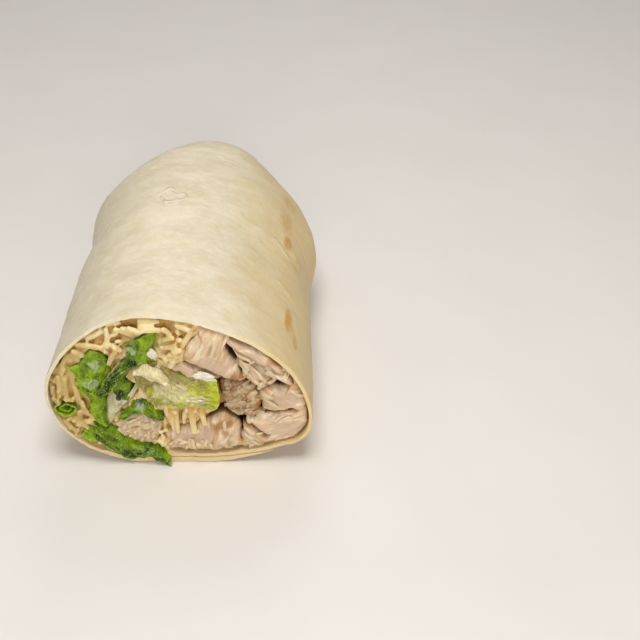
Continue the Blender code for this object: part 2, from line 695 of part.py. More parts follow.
def main():
    for old in list(bpy.data.objects):
        bpy.data.objects.remove(old)
    wrap = bpy.data.collections.new("chicken_caesar_wrap")
    bpy.context.scene.collection.children.link(wrap)

    make_tortilla(material("flour_tortilla", (0.72, 0.56, 0.33), 0.6), wrap)
    make_chicken(material("cooked_chicken", (0.55, 0.38, 0.28), 0.5), wrap)
    green = material("romaine", (0.10, 0.26, 0.02), 0.3)
    white = material("romaine_rib", (0.60, 0.62, 0.45), 0.3)
    slots = make_romaine(green, white, wrap)
    make_cheese(slots, material("hard_cheese", (0.72, 0.55, 0.26), 0.4), wrap)
    make_dressing(material("caesar_dressing", (0.80, 0.77, 0.66), 0.25), wrap)
    for made in wrap.objects:
        made.data.shade_smooth()
        made.data.set_sharp_from_angle(angle=math.radians(35))


main()
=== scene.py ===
import math
import random

import bmesh
import bpy
import numpy as np
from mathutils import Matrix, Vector, noise
from mathutils.bvhtree import BVHTree


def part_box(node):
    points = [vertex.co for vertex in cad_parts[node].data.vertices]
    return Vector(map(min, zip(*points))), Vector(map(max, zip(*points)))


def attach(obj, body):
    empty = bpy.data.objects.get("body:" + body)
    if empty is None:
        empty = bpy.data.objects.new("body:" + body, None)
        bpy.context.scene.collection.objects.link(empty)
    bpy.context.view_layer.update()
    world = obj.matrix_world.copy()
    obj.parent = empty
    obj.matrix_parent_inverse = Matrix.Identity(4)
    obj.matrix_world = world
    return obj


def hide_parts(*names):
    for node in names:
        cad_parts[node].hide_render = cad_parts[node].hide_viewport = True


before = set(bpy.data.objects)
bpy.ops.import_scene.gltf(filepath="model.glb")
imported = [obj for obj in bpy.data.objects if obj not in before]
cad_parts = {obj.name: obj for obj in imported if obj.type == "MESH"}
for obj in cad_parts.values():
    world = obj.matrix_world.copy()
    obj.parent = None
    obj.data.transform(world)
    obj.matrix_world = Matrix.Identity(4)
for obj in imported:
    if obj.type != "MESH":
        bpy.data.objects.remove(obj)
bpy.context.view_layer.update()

# One half of a chicken caesar wrap, cut across with a knife and resting on its seam. Sizes are in
# millimetres. The cut faces -Y, and a depth is how far behind the cut a thing lies.


# Tortilla.
# One round sheet of wheat dough, baked on a griddle until it is pale and dry with a few toasted spots.
# It is rolled once round the filling with its far end tucked in, and lies on the flap that it ends in.

MM = 0.001
CUT_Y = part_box("tortilla")[0].y / MM
SHEET = 1.6  # thickness
LAYER_PITCH = 2.0  # from one layer to the next, where the roll overlaps itself
HEART_Z = 26  # height of the middle of the section

# The roll's outside at the cut, as (x, z), anticlockwise from under its middle. It is flat below.
OUTLINE = (
    (-3, 0), (9, 0), (18.5, 1.1), (28, 3.2), (36.6, 7.8), (40, 17.4), (37.2, 30), (30, 40.2),
    (17.5, 49), (2, 54.3), (-12, 54.8), (-23, 51), (-32, 43.3), (-37.6, 34), (-38.9, 25), (-36, 14),
    (-28, 5.2), (-15, 0),
)
SEAM_X = -24  # where the inner edge starts, under the filling
STRETCHED = 0.4  # how much thinner the sheet is where it is drawn over the filling
FLAP_TIGHT = 0.36  # how much the flap swells, to lie close under the roll

# Along the roll: (y, width scale, height scale, lift). The last rows turn inwards, as the tucked end.
ROLL = (
    (CUT_Y, 1.00, 1.00, 0), (-45, 0.992, 1.005, 0), (-28, 0.985, 1.01, 0), (-12, 0.975, 1.015, 0),
    (4, 0.966, 1.02, 0), (20, 0.978, 1.01, 0), (32, 0.98, 0.995, 0.1), (42, 0.955, 0.965, 0.5),
    (50, 0.89, 0.90, 1.6), (56.5, 0.80, 0.80, 4.2), (61.2, 0.69, 0.65, 8.5), (63.5, 0.57, 0.47, 13.8),
    (62.6, 0.48, 0.31, 18.4), (58.5, 0.42, 0.13, 23.3), (52, 0.39, 0.03, 26.0),
)
SECTION_SIZE = (40, 50)  # half width and height, which weigh the scales above against y

# Steps of the mesh: once round the roll, round the overlap, from the inner layer out, and along the roll.
ROUND_STEPS, OVERLAP_STEPS, EASE_STEPS, LENGTH_STEPS = 150, 38, 11, 230
FLAP_EDGE = 11  # steps over which the flap thins out to its edge
SPAN_STEPS = 12  # from one given point of a smooth line to the next
RAGGED_ROWS = (1, 0.7, 0.4, 0.1)  # how ragged the first rows at the cut are
SHARP_ANGLE = 62  # degrees, above which an edge of any piece is crisp

# Soft swellings of the roll, and dents where the height is below 0: centre, reach, height.
BULGES = (
    ((41, 21, 24), 11, 1.9), ((40, -5, 26), 9, -1.0), ((34, 52, 38), 15, -2.4), ((9, 53, 50), 13, 2.0),
    ((-27, 54, 46), 18, -4.9), ((-38, 6, 34), 13, -1.6), ((-38, 29, 34), 9, 0.3), ((-12, -8, 56), 22, 0.9),
    ((20, 16, 50), 17, 1.3), ((12, -44, 53), 16, 0.7), ((-41, -64, 22), 13, 0.9), ((-10, -66, 57), 14, 0.7),
)
FLAT_HEIGHT = 12  # they fade out below this height

# Unevenness of the outside: size round the roll and along it, height.
WRINKLES = ((13, 10, 0.34), (9, 5, 0.2), (5, 2.4, 0.1), (2.6, 2.6, 0.05))

# Creases: height, width, and the line that each follows.
CREASES = (
    (0.5, 0.9, ((27.0, -2.6, 43.1), (29.6, -5.2, 40.5), (32.6, -7.0, 37.2))),
    (-0.35, 1.2, ((29.4, -1.6, 41.0), (31.6, -4.4, 38.6), (34.4, -6.6, 34.6))),
    (0.35, 0.9, ((29.2, -25.4, 41.0), (31.0, -27.2, 39.0), (33.2, -28.0, 36.0))),
    (0.4, 0.9, ((30.4, 3.6, 39.8), (32.4, -0.6, 37.4), (35.6, -3.6, 32.2))),
    (-0.3, 0.9, ((33.6, 10, 35.5), (36.8, 7.6, 30), (38.6, 7.4, 24))),
    (0.3, 0.9, ((-27, -20, 47.5), (-22, -18.6, 50.8), (-16, -19.8, 53.6), (-10, -19, 55))),
)

# Small blisters that have sunk in with a fold round them: centre, reach, height of the fold.
BLISTERS = (
    ((-5.6, 1.6, 56.6), (3.6, 3.6, 9), 0.8), ((28.6, -4.6, 41.0), (2.2, 4.2, 2.2), 0.3),
)

# Toasted spots: centre, half sizes across and along the roll, strength.
TOASTED = (
    ((31.4, 1.2, 38.8), (1.7, 4), 1), ((32.4, -41.2, 37.6), (1.5, 6.2), 1),
    ((34.4, -48.6, 34.6), (1.3, 4.4), 0.75), ((33.5, -45, 36.1), (1.2, 4), 0.6),
    ((30.6, 13, 40), (3, 8), 0.7), ((31, 28, 38), (4, 7), 0.6), ((34.5, -4, 33), (2.5, 6), 0.5),
    ((38, -33, 20), (4, 7), 0.5), ((39.8, -12, 19), (4, 6), 0.5), ((-36, 10, 22), (5, 4), 0.7),
    ((-37, -30, 18), (4, 8), 0.4), ((4, 60, 20), (9, 6), 0.75), ((-15, 57, 30), (5, 7), 0.55),
    ((22, 50, 42), (6, 4), 0.4), ((12, -5, 0), (14, 22), 0.8), ((-12, 24, 0), (9, 12), 0.7),
    ((-22, -38, 2), (7, 12), 0.5), ((-30, 40, 38), (4, 3), 0.4), ((-3, 30, 56), (3.5, 1.6), 0.25),
    ((17, 41, 50), (2.2, 1.6), 0.35),
)


class Value:
    """A number or colour that varies over a surface. Arithmetic on it adds Math nodes."""

    def __init__(self, finish, socket):
        self.finish, self.socket = finish, socket

    def __add__(self, other):
        return self.finish.math_of("ADD", self, other)

    def __sub__(self, other):
        return self.finish.math_of("SUBTRACT", self, other)

    def __rsub__(self, other):
        return self.finish.math_of("SUBTRACT", other, self)

    def __mul__(self, other):
        return self.finish.math_of("MULTIPLY", self, other)

    def __or__(self, other):
        """The larger of two."""
        return self.finish.math_of("MAXIMUM", self, other)

    __radd__, __rmul__ = __add__, __mul__


class Finish:
    """A material. Its gloss, how much light goes into it, how far in millimetres for red, green and blue,
    and the roughness of a wet film on it are the same all over. Nodes vary the rest."""

    def __init__(self, name, specular=0.5, soft=0, reach=(1, 1, 1), film=0.03):
        self.material = bpy.data.materials.new(name)
        self.material.use_nodes = True
        self.tree = self.material.node_tree
        self.shader = self.tree.nodes["Principled BSDF"]
        constants = {
            "Specular IOR Level": specular, "Subsurface Weight": soft, "Subsurface Radius": reach,
            "Subsurface Scale": MM, "Coat Roughness": film,
        }
        for socket, value in constants.items():
            self.shader.inputs[socket].default_value = value
        self.place = self.node("TexCoord", {}, {}, "Object")

    def node(self, kind, settings, sockets, output=0):
        """Adds a node: its settings first, then the values or links of its sockets."""
        made = self.tree.nodes.new("ShaderNode" + kind)
        for name, value in settings.items():
            setattr(made, name, value)
        for name, value in sockets.items():
            if isinstance(value, Value):
                self.tree.links.new(value.socket, made.inputs[name])
            else:
                made.inputs[name].default_value = value
        return Value(self, made.outputs[output])

    def math_of(self, operation, a, b=0.0):
        return self.node("Math", {"operation": operation}, {0: a, 1: b})

    def attribute(self, name, output="Fac"):
        return self.node("Attribute", {"attribute_name": name}, {}, output)

    def marks(self, size, seed=0, detail=2.0, place=None):
        """Smooth random values from 0 to 1, with marks of a size in millimetres, or one for each axis."""
        finer = [1 / (length * MM) for length in np.broadcast_to(size, 3)]
        at = self.node("VectorMath", {"operation": "MULTIPLY"}, {0: place or self.place, 1: finer})
        settings = {"noise_dimensions": "4D"}
        return self.node("TexNoise", settings, {"Vector": at, "W": seed, "Scale": 1, "Detail": detail})

    def fade(self, value, start, end):
        """Runs smoothly from 0 where the value is start to 1 where it is end."""
        sockets = {"Value": value, "From Min": start, "From Max": end}
        return self.node("MapRange", {"interpolation_type": "SMOOTHSTEP"}, sockets)

    def painted(self, ground, *coats):
        """A colour under coats of others, each with how much of it shows from 0 to 1."""
        colour = shade(*ground)
        for share, coat in coats:
            colour = self.node("Mix", {"data_type": "RGBA"}, {0: share, 6: colour, 7: shade(*coat)}, 2)
        return colour

    def along(self, axis):
        """The place along X, Y or Z in millimetres, for axis 0, 1 or 2."""
        return self.node("SeparateXYZ", {}, {0: self.place}, axis) * (1 / MM)

    def away(self, centre, reach):
        """The distance from a point, as a share of a reach that differs from axis to axis."""
        finer = [1 / (length * MM) for length in reach]
        middle = [-at / length for at, length in zip(centre, reach)]
        at = self.node("VectorMath", {"operation": "MULTIPLY_ADD"}, {0: self.place, 1: finer, 2: middle})
        return self.node("VectorMath", {"operation": "LENGTH"}, {0: at}, "Value")

    def near(self, centre, reach):
        """1 at a point, and 0 from reach away."""
        return self.fade(self.away(centre, reach), 1, 0.2)

    def fold(self, centre, reach, distortion):
        """1 along an uneven ring that is reach away from a point, and 0 beside it."""
        return self.fade(self.math_of("ABSOLUTE", self.away(centre, reach) + distortion - 1), 0.45, 0)

    def set(self, **feeds):
        """Feeds the shader: colour, roughness, coat, and height for a bump in millimetres."""
        if "height" in feeds:
            feeds["Normal"] = self.node("Bump", {}, {"Height": feeds.pop("height"), "Distance": MM})
        sockets = {"colour": "Base Color", "roughness": "Roughness", "coat": "Coat Weight"}
        for name, value in feeds.items():
            self.tree.links.new(value.socket, self.shader.inputs[sockets.get(name, name)])


def shade(red, green, blue):
    """A colour from the numbers that a screen shows it with, 0 to 255."""
    levels = (level / 255 for level in (red, green, blue))
    return (*(level / 12.92 if level < 0.04 else ((level + 0.055) / 1.055) ** 2.4 for level in levels), 1)


def smooth_line(points, count, closed=False):
    """count points, evenly spaced, on a Catmull-Rom curve through the given ones."""
    knots = np.array(points, float)
    knots = np.vstack([knots[-1:], knots, knots[:2]] if closed else [knots[:1], knots, knots[-1:]])
    t = np.linspace(0, 1, SPAN_STEPS, endpoint=False)[:, None]
    spans = []
    for a, b, c, d in zip(knots, knots[1:], knots[2:], knots[3:]):
        bend = (2 * a - 5 * b + 4 * c - d) * t**2 + (3 * b - a - 3 * c + d) * t**3
        spans.append(b + ((c - a) * t + bend) / 2)
    return even_steps(np.vstack([*spans, knots[-2:-1]]), count, closed)


def even_steps(line, count, closed=False):
    """count points, evenly spaced, along a line of points. A closed line ends where it starts."""
    run = np.concatenate([[0], np.cumsum(np.linalg.norm(np.diff(line, axis=0), axis=1))])
    wanted = np.linspace(0, run[-1], count + closed)[:count]
    return np.stack([np.interp(wanted, run, column) for column in line.T], axis=1)


def smoothstep(share):
    share = np.clip(share, 0, 1)
    return share * share * (3 - 2 * share)


def ruffle(points, size, seed=0):
    """Smooth random numbers from -1 to 1 at points, with bumps of a size, or one for each axis."""
    places = points / np.array(size) + np.array((7.3, 3.1, 5.7)) * (seed + 1)
    values = [noise.noise(place) for place in places.reshape(-1, 3)]
    return np.array(values).reshape(points.shape[:-1])


def unit(vectors):
    """Vectors in their own directions, one long."""
    return vectors / np.maximum(np.linalg.norm(vectors, axis=-1, keepdims=True), 1e-6)


def normals(grid):
    """The direction square to a grid of points, at each of them."""
    return unit(np.cross(np.gradient(grid, axis=0), np.gradient(grid, axis=1)))


def distance_to_line(points, line):
    """How far points lie from a line through the given points."""
    nearest = np.full(points.shape[:-1], np.inf)
    for a, b in zip(line, line[1:]):
        share = np.clip((points - a) @ (b - a) / ((b - a) @ (b - a)), 0, 1)[..., None]
        nearest = np.minimum(nearest, np.linalg.norm(points - (a + (b - a) * share), axis=-1))
    return nearest


def closed_sheet(front, back):
    """Points and faces of a thin solid between two grids of points, rows by columns."""
    rows, columns = front.shape[:2]
    near, far = np.arange(2 * rows * columns).reshape(2, rows, columns)

    def quads(at, flip):
        corners = (at[:-1, :-1], at[1:, :-1], at[1:, 1:], at[:-1, 1:])
        return np.stack(corners[::-1] if flip else corners, -1).reshape(-1, 4)

    edge = np.concatenate([near[0, :-1], near[:-1, -1], near[-1, :0:-1], near[:0:-1, 0]])
    rim = np.stack([edge, np.roll(edge, -1), np.roll(edge, -1) + near.size, edge + near.size], -1)
    faces = np.vstack([quads(near, False), quads(far, True), rim])
    return np.concatenate([front, back]).reshape(-1, 3), faces


PIECES = {}


def add_piece(name, points, faces, finish, slot, nodes=(), **values):
    """A smooth mesh of points in millimetres that rides on the wrap, and the solids that it stands for."""
    mesh = bpy.data.meshes.new(name)
    mesh.from_pydata((np.asarray(points) * MM).tolist(), [], [list(map(int, face)) for face in faces])
    for value, numbers in values.items():
        kind, field = ("FLOAT", "value") if np.ndim(numbers) == 1 else ("FLOAT_VECTOR", "vector")
        carried = mesh.attributes.new(value, kind, "POINT")
        carried.data.foreach_set(field, np.ravel(numbers).astype(np.float32))
    shape = bmesh.new()
    shape.from_mesh(mesh)
    bmesh.ops.recalc_face_normals(shape, faces=shape.faces)
    shape.to_mesh(mesh)
    shape.free()
    mesh.shade_smooth()
    mesh.set_sharp_from_angle(angle=math.radians(SHARP_ANGLE))
    mesh.materials.append(finish.material)
    piece = bpy.data.objects.new(name, mesh)
    bpy.context.scene.collection.objects.link(piece)
    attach(piece, "root")
    if nodes:
        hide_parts(*nodes)
    PIECES[name] = piece


def inner_share(step):
    """How far a step round the roll belongs to the inner layer: 1 under the filling, 0 on the outside."""
    return smoothstep((OVERLAP_STEPS + EASE_STEPS - step) / EASE_STEPS)


def rolled_skin():
    """The roll's outside as a grid of points, along by round, and the way outwards at each."""
    outline = smooth_line(OUTLINE, ROUND_STEPS, closed=True)
    outline[:, 1] = np.maximum(outline[:, 1], 0)
    low = [i for i, (x, z) in enumerate(outline) if z < HEART_Z and x <= SEAM_X]
    outline = np.roll(outline, -max(low, key=lambda i: outline[i, 0]), axis=0)
    wide, high = SECTION_SIZE
    rows = smooth_line([(y, w * wide, h * high, lift) for y, w, h, lift in ROLL], LENGTH_STEPS)
    y, width, height, lift = (column[:, None] for column in rows.T)
    x, z = outline.T
    skin = np.stack([x * width / wide, y + 0 * x, z * height / high + lift], -1)
    round_it = np.roll(skin, -1, axis=1) - np.roll(skin, 1, axis=1)
    outwards = unit(np.cross(np.gradient(skin, axis=0), round_it))
    again = np.arange(ROUND_STEPS + OVERLAP_STEPS) % ROUND_STEPS
    return skin[:, again], outwards[:, again]


skin, outwards = rolled_skin()
raised = skin[..., 2]
step, row = np.arange(skin.shape[1]), np.arange(len(skin))[:, None]
inner = inner_share(step)
swelling, relief = 0, 0
for centre, reach, height in BULGES:
    swelling = swelling + height * np.exp(-((np.linalg.norm(skin - centre, axis=-1) / reach) ** 2))
middle = swelling * smoothstep(raised / FLAT_HEIGHT) - SHEET / 2 - LAYER_PITCH * inner
for seed, (across, along, height) in enumerate(WRINKLES):
    relief = relief + height * ruffle(skin, (across, along, across), seed)
for height, width, line in CREASES:
    relief += height * np.exp(-((distance_to_line(skin, np.array(line, float)) / width) ** 2))
relief *= smoothstep(raised / 4) * (1 - inner)

# The flap thins out to its edge, and the edge at the cut is rounded outside and a little ragged.
pressed = FLAP_TIGHT * (step >= ROUND_STEPS) - STRETCHED * smoothstep(raised / 9)
thin = SHEET * (1 - np.clip((len(step) - 1 - step) / FLAP_EDGE, 0.08, 1) ** 0.7)
rounded = 0.2 * np.maximum(1 - row / 2, 0)
outer = skin + outwards * (middle + SHEET / 2 + relief - thin - rounded)[..., None]
under = skin + outwards * (middle - SHEET / 2 - pressed + 0.3 * relief)[..., None]
ragged = 0.3 * ruffle(skin[:4], 1.6, 8) + 0.25 * ruffle(skin[:4], 5, 9)
ragged *= np.array(RAGGED_ROWS)[:, None]
outer[:4, :, 1] += ragged
under[:4, :, 1] += ragged - 0.25 * (row[:4] == 0)
WALL = under[0, :ROUND_STEPS, ::2]  # the inside of the tortilla at the cut, as (x, z)
# How far each point of the sheet's inside lies behind the cut, from 0 to 1 over the first rows, and 0 on
# the outside; it carries painted shade.
inside = np.stack([0 * raised, smoothstep((row - 1) / 6) + 0 * raised]).ravel()

flour = Finish("flour_tortilla", specular=0.4, soft=0.16, reach=(2.2, 1.5, 0.8))
clouds = flour.marks((9, 7, 9), 1, 4.0)
streaks = flour.marks((6, 2.6, 6), 2, 2.0)
specks = flour.fade(flour.marks((0.5, 0.45, 0.5), 3, 1.0), 0.745, 0.79)
floury = flour.fade(flour.marks((2.8, 2.4, 2.8), 4, 4.0), 0.45, 0.75)
# Tan towards the right and low down: partly bare, griddle-baked dough, and partly painted sheen, as the
# pale top centre stands for the soft highlight of the light above.
bare_away_from_sheen = flour.fade(flour.along(0) + 14 * (clouds - 0.5), 6, 38) | flour.fade(flour.along(2), 24, 4) * 0.8
toasted = 0.0
for centre, (across, along), strength in TOASTED:
    toasted = flour.near(centre, (across * 2, along * 1.7, across * 2)) * strength | toasted
toasted = flour.fade(toasted * (0.3 + 1.4 * flour.marks((1.2, 3.0, 1.2), 5, 4.0)), 0.2, 1.15)
uneven = flour.marks(3, 9, 0.0)
folds = 0.0
for centre, reach, height in BLISTERS:
    folds = flour.fold(centre, reach, 2.4 * (uneven - 0.5)) * height + folds
folds = folds * flour.fade(clouds, 0.3, 0.6)
glossy = flour.near((14, -20, 50), (15, 17, 15))
flour.set(
    colour=flour.painted(
        (228, 216, 188),
        (flour.fade(clouds, 0.35, 0.7), (219, 205, 172)),
        (flour.fade(streaks, 0.5, 0.8) * 0.15, (210, 194, 158)),
        (floury * 0.4, (240, 232, 212)),
        (bare_away_from_sheen * 0.85, (222, 193, 134)),
        # painted highlight: the blister folds are painted paler, as if lit along their crests
        (folds * 0.5, (244, 236, 214)),
        (toasted * 0.8, (194, 142, 50)),
        # painted shade: the inside of the sheet turns darker golden further behind the cut, in the gap
        # round the filling
        (flour.fade(flour.attribute("inside"), 0.3, 1.0) * 0.8, (208, 164, 96)),
        (specks * 0.5, (140, 116, 84)),
    ),
    roughness=0.36 + 0.25 * flour.marks((5, 3, 5), 6) - 0.14 * glossy,
    height=0.06 * streaks + 0.25 * flour.marks((2.4, 2.0, 2.4), 7, 5.0) - 0.1 * specks + 0.5 * folds,
)
points, faces = closed_sheet(outer, under)
add_piece("tortilla_roll", points, faces, flour, "tortilla", ["tortilla"], inside=inside)


# Chicken.
# Cooked chicken, torn and sliced into chunks that run through the roll. Part of each face is cut smooth,
# and the rest is torn along the grain into ridges and layers, with frayed flakes and pulled strands on it.

FACE_RINGS = 42  # rings of points from the middle of a face to its edge
FACE_SIDES = 168  # points round a chunk
EDGE_DEPTH = 1.3  # how far the rim of a face falls back
RAGGED = 0.35  # how far its outline strays
CHUNK_STATIONS = (40, 71.5, 93.5)  # depths at which the sides follow the solid
PACKED = 0.42  # how far a chunk spreads against its neighbours
WALL_REACH, WALL_GAP = 3.4, 0.1  # a chunk this near to the tortilla is pressed up to it, but for a gap

BAR_SIDES, BLUNT = 8, 0.9  # of a strip, flake or strand: its sides, and how blunt its corners are

# Each chunk: node, depth of the edge of its face, bulge, direction of the grain in degrees from +X, width
# of its torn layers, their height, height of its fibres, browning of its edge, flakes, and how golden and
# how dark it is. Then the smooth part of its face and the part that is browned: centre and reach.
NOWHERE = ((0, 0), (1, 1))
CHUNKS = (
    ("chicken_fanned", 1.0, 2.0, 62, 3.0, 0.9, 0.2, 0.4, 3, 0.2, 0,
     ((9.6, 37.6), (7.6, 3.6)), ((18.6, 33), (3.2, 4.6))),
    ("chicken_lobe", 1.6, 1.3, 15, 5.0, 0.3, 0.1, 0.2, 2, 0.2, 0, ((5, 34.5), (8, 3)), NOWHERE),
    ("chicken_flaked", 0.7, 1.7, -36, 3.0, 1.6, 0.16, 0.8, 3, -0.1, 0,
     ((20.2, 45.8), (6.5, 3)), ((31, 38.6), (6, 2.4))),
    ("chicken_wedge", 1.8, 1.7, -44, 2.6, 1.4, 0.2, 0.4, 3, 0.2, 0,
     ((19, 39), (1, 1)), ((20.4, 29.8), (2.6, 2))),
    # Its darkness and its browned patch are partly painted shade, as it sits back in the shadow of the
    # chunks round it.
    ("chicken_pulled", 2.0, 1.4, 20, 2.6, 0.9, 0.4, 1.0, 8, 0.9, 0.5, NOWHERE, ((14.6, 28.6), (3.6, 3.6))),
    ("chicken_rounded", 1.5, 1.9, -15, 4.0, 0.6, 0.25, 0.4, 3, 0.45, -0.1, ((31, 24.5), (5, 3.5)), NOWHERE),
    ("chicken_striped", 0.9, 1.5, 24, 1.5, 0.45, 0.25, 0.45, 3, 0.05, 0, ((33, 13), (6, 4)), NOWHERE),
    ("chicken_tip", 1.3, 1.3, -30, 2.4, 1.0, 0.25, 0.7, 4, 0.7, 0.1, NOWHERE, NOWHERE),
    ("chicken_low", 1.1, 1.8, 80, 4.5, 0.6, 0.2, 0.5, 6, 0.5, 0.1,
     ((4, 11.2), (6.5, 3.6)), ((12.5, 13.5), (5, 5))),
    ("chicken_minced", 1.1, 0.9, 20, 2.6, 1.2, 0.3, 0.4, 6, 0.6, 0.06, NOWHERE, NOWHERE),
)

# Pulled pieces that lie on a chunk: how many, the longest, and where: centre, reach across and up.
STRANDS = {
    "chicken_pulled": (48, 4.4, (19.4, 23.4), (5.4, 5.6)),
    "chicken_minced": (46, 2.8, (-12.6, 12.6), (6.4, 4.2)),
    "chicken_low": (24, 3.4, (5, 6.4), (9.5, 2.6)),
    "chicken_wedge": (4, 4, (25.4, 30), (3, 2)),
    "chicken_striped": (5, 3.4, (24, 17.2), (4.5, 1.4)),
    "chicken_flaked": (4, 4, (30, 33.5), (3, 3)),
}


def from_the_right(outline):
    """A closed outline, from its point that lies furthest to the right."""
    return np.roll(outline, -int(np.argmax(outline[:, 0])), axis=0)


def sliced_solid(node, depth, kept_whole=True):
    """A copy of a solid cut by a plane at a depth, whole or without its front, and where it is cut."""
    shape = bmesh.new()
    shape.from_mesh(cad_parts[node].data)
    bmesh.ops.remove_doubles(shape, verts=shape.verts, dist=0.001 * MM)
    everything = [*shape.verts, *shape.edges, *shape.faces]
    plane = {"plane_co": (0, (CUT_Y + depth) * MM, 0), "plane_no": (0, 1, 0), "clear_inner": not kept_whole}
    return shape, bmesh.ops.bisect_plane(shape, geom=everything, **plane)["geom_cut"]


def taken(shape):
    """The points and faces of a shape, which is freed."""
    points = np.array([vert.co for vert in shape.verts])
    faces = [[vert.index for vert in face.verts] for face in shape.faces]
    shape.free()
    return points, faces


def section(node, depth):
    """The outline, in even steps, where a plane at a depth crosses a solid."""
    shape, crossed = sliced_solid(node, depth)
    edges = [edge for edge in crossed if isinstance(edge, bmesh.types.BMEdge)]
    loops = []
    while edges:
        loop = list(edges.pop(0).verts)
        while onwards := [edge for edge in loop[-1].link_edges if edge in edges]:
            edges.remove(onwards[0])
            loop.append(onwards[0].other_vert(loop[-1]))
        loops.append(np.array([(vert.co.x, vert.co.z) for vert in loop]) / MM)
    shape.free()
    outline = max(loops, key=len)
    x, z = outline.T
    if np.sum(x * np.roll(z, -1) - np.roll(x, -1) * z) < 0:
        outline = outline[::-1]
    return from_the_right(even_steps(np.vstack([outline, outline[:1]]), FACE_SIDES, closed=True))


def placed(spots, y):
    """Spots of the section, given as (x, z), as points at y."""
    return np.stack([spots[..., 0], y + 0 * spots[..., 0], spots[..., 1]], -1)


def shifts(points, size, seed=0):
    """Smooth random moves of points, along all three axes."""
    return np.stack([ruffle(points, size, seed + axis) for axis in range(3)], -1)


def bump_at(spots, centre, reach, stray, steepness):
    """1 in the middle of an oval part of the section, falling to 0 outside it."""
    x, z = np.moveaxis(spots, -1, 0)
    away = ((x - centre[0]) / reach[0]) ** 2 + ((z - centre[1]) / reach[1]) ** 2
    return smoothstep(steepness * (1 - away - stray))


def fibres(flat, heading, layer, step, fibre, seed):
    """The relief of torn meat at points, and their places along and across its grain."""
    turn = math.radians(heading)
    along = flat[..., 0] * math.cos(turn) + flat[..., 2] * math.sin(turn)
    across = flat[..., 2] * math.cos(turn) - flat[..., 0] * math.sin(turn)
    across = across + 1.2 * ruffle(flat, 6, seed) + 0.25 * ruffle(flat, 2, seed + 1)
    grain = np.stack([along, across, 0 * along], -1)
    layers = across / layer + 0.6 * ruffle(grain, (7, 99, 9), seed + 2)
    share = layers - np.floor(layers)
    apart = np.stack([along, 33 * np.floor(layers), 0 * along], -1)  # each layer by itself
    tall = 0.6 + 0.9 * ruffle(apart, 8, seed + 3)
    relief = step * tall * np.clip(np.minimum(share, 7 * (1 - share)), 0, 1)
    relief += fibre * (1 - 2 * np.abs(ruffle(grain, (7, 1.1, 9), seed + 4)))
    relief += 0.5 * fibre * ruffle(grain, (4, 0.5, 9), seed + 5)
    return relief, grain


def pressed_out(outline):
    """The outline spread a little, and up to the tortilla where that is near."""
    out = unit(outline - outline.mean(0))
    room = distance_to_line(outline, np.vstack([WALL, WALL[:1]]))
    return outline + out * np.where(room < WALL_REACH, room - WALL_GAP, PACKED)[:, None]


def chunk(node, depth, bulge, heading, layer, step, fibre, browned, smooth, seared, seed):
    """Rings of points over a chunk's torn face and back along its sides, and the values they carry."""
    outline = pressed_out(section(node, depth + 4))
    middle = outline.mean(0)
    out = outline - middle
    rim = placed(outline, 0)
    stray = RAGGED * (ruffle(rim, 1.6, seed) + 0.7 * ruffle(rim, 0.7, seed + 1) - 0.3)
    out = out * (1 + stray / np.linalg.norm(out, axis=1))[:, None]
    share = (np.arange(1, FACE_RINGS + 1) / FACE_RINGS)[:, None] ** 0.85
    spots = middle + out * share[..., None]
    flat = placed(spots, 0)
    relief, grain = fibres(flat, heading, layer, step, fibre, seed)
    sliced = bump_at(spots, *smooth, 0.6 * ruffle(flat, 3.4, seed + 8), 2.2)
    relief = (relief - 0.4 * step) * (1 - 0.75 * sliced) - 0.3 * sliced
    seared = 0.8 * bump_at(spots, *seared, 0.9 * ruffle(flat, 2.6, seed + 10), 0.8)
    lumps = 0.55 * ruffle(flat, 4.5, seed + 6) + 0.13 * ruffle(flat, 1.3, seed + 7)
    fall = share**3.6
    front = depth + EDGE_DEPTH * share**14 - bulge * (1 - fall) - (relief + lumps) * (1 - 0.4 * fall)
    face = placed(spots, CUT_Y + front)

    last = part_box(node)[1].y / MM - CUT_Y - 0.05
    edge = depth + EDGE_DEPTH
    sides = [(edge + 0.7, middle + 0.985 * out), (edge + 2, middle + 0.97 * out)]
    sides += [(behind, section(node, behind)) for behind in (depth + 7, *CHUNK_STATIONS, last)]
    sides = np.array([placed(ring, CUT_Y + behind) for behind, ring in sides])
    # Painted shade: a face is darker in the hollows of its torn relief and towards its rim, and its sides
    # are dark all along, where it meets the chunks beside it.
    hollow = np.clip(0.5 - relief / (step + 2 * fibre + 0.4), 0, 1) * (1 - 0.8 * sliced)
    rim = smoothstep((share - 0.87) / 0.13) * (0.85 + 0.4 * ruffle(flat, 5, seed + 9))
    hollow = np.maximum(hollow, rim)
    plain = np.ones(sides.shape[:2])
    return face, sides, {
        "grain": np.concatenate([grain, sides[..., [1, 0, 2]]]) * MM,
        "hollow": np.concatenate([hollow, 0.95 * plain]),
        "brown": np.concatenate([browned * share**3 + seared, browned * plain]),
        "sliced": np.concatenate([sliced, 0 * plain]),
    }


def closed_rings(rings):
    """Points and faces of a closed solid through rings of points, with one in the middle of each end."""
    index = np.arange(rings[..., 0].size).reshape(rings.shape[:2])
    turned = np.roll(index, -1, axis=1)
    walls = np.stack([index[:-1], turned[:-1], turned[1:], index[1:]], -1).reshape(-1, 4).tolist()
    start, end = index.size, index.size + 1
    first = [(start, b, a) for a, b in zip(index[0], turned[0])]
    points = np.vstack([rings.reshape(-1, 3), rings[0].mean(0), rings[-1].mean(0)])
    return points, walls + first + [(end, a, b) for a, b in zip(index[-1], turned[-1])]


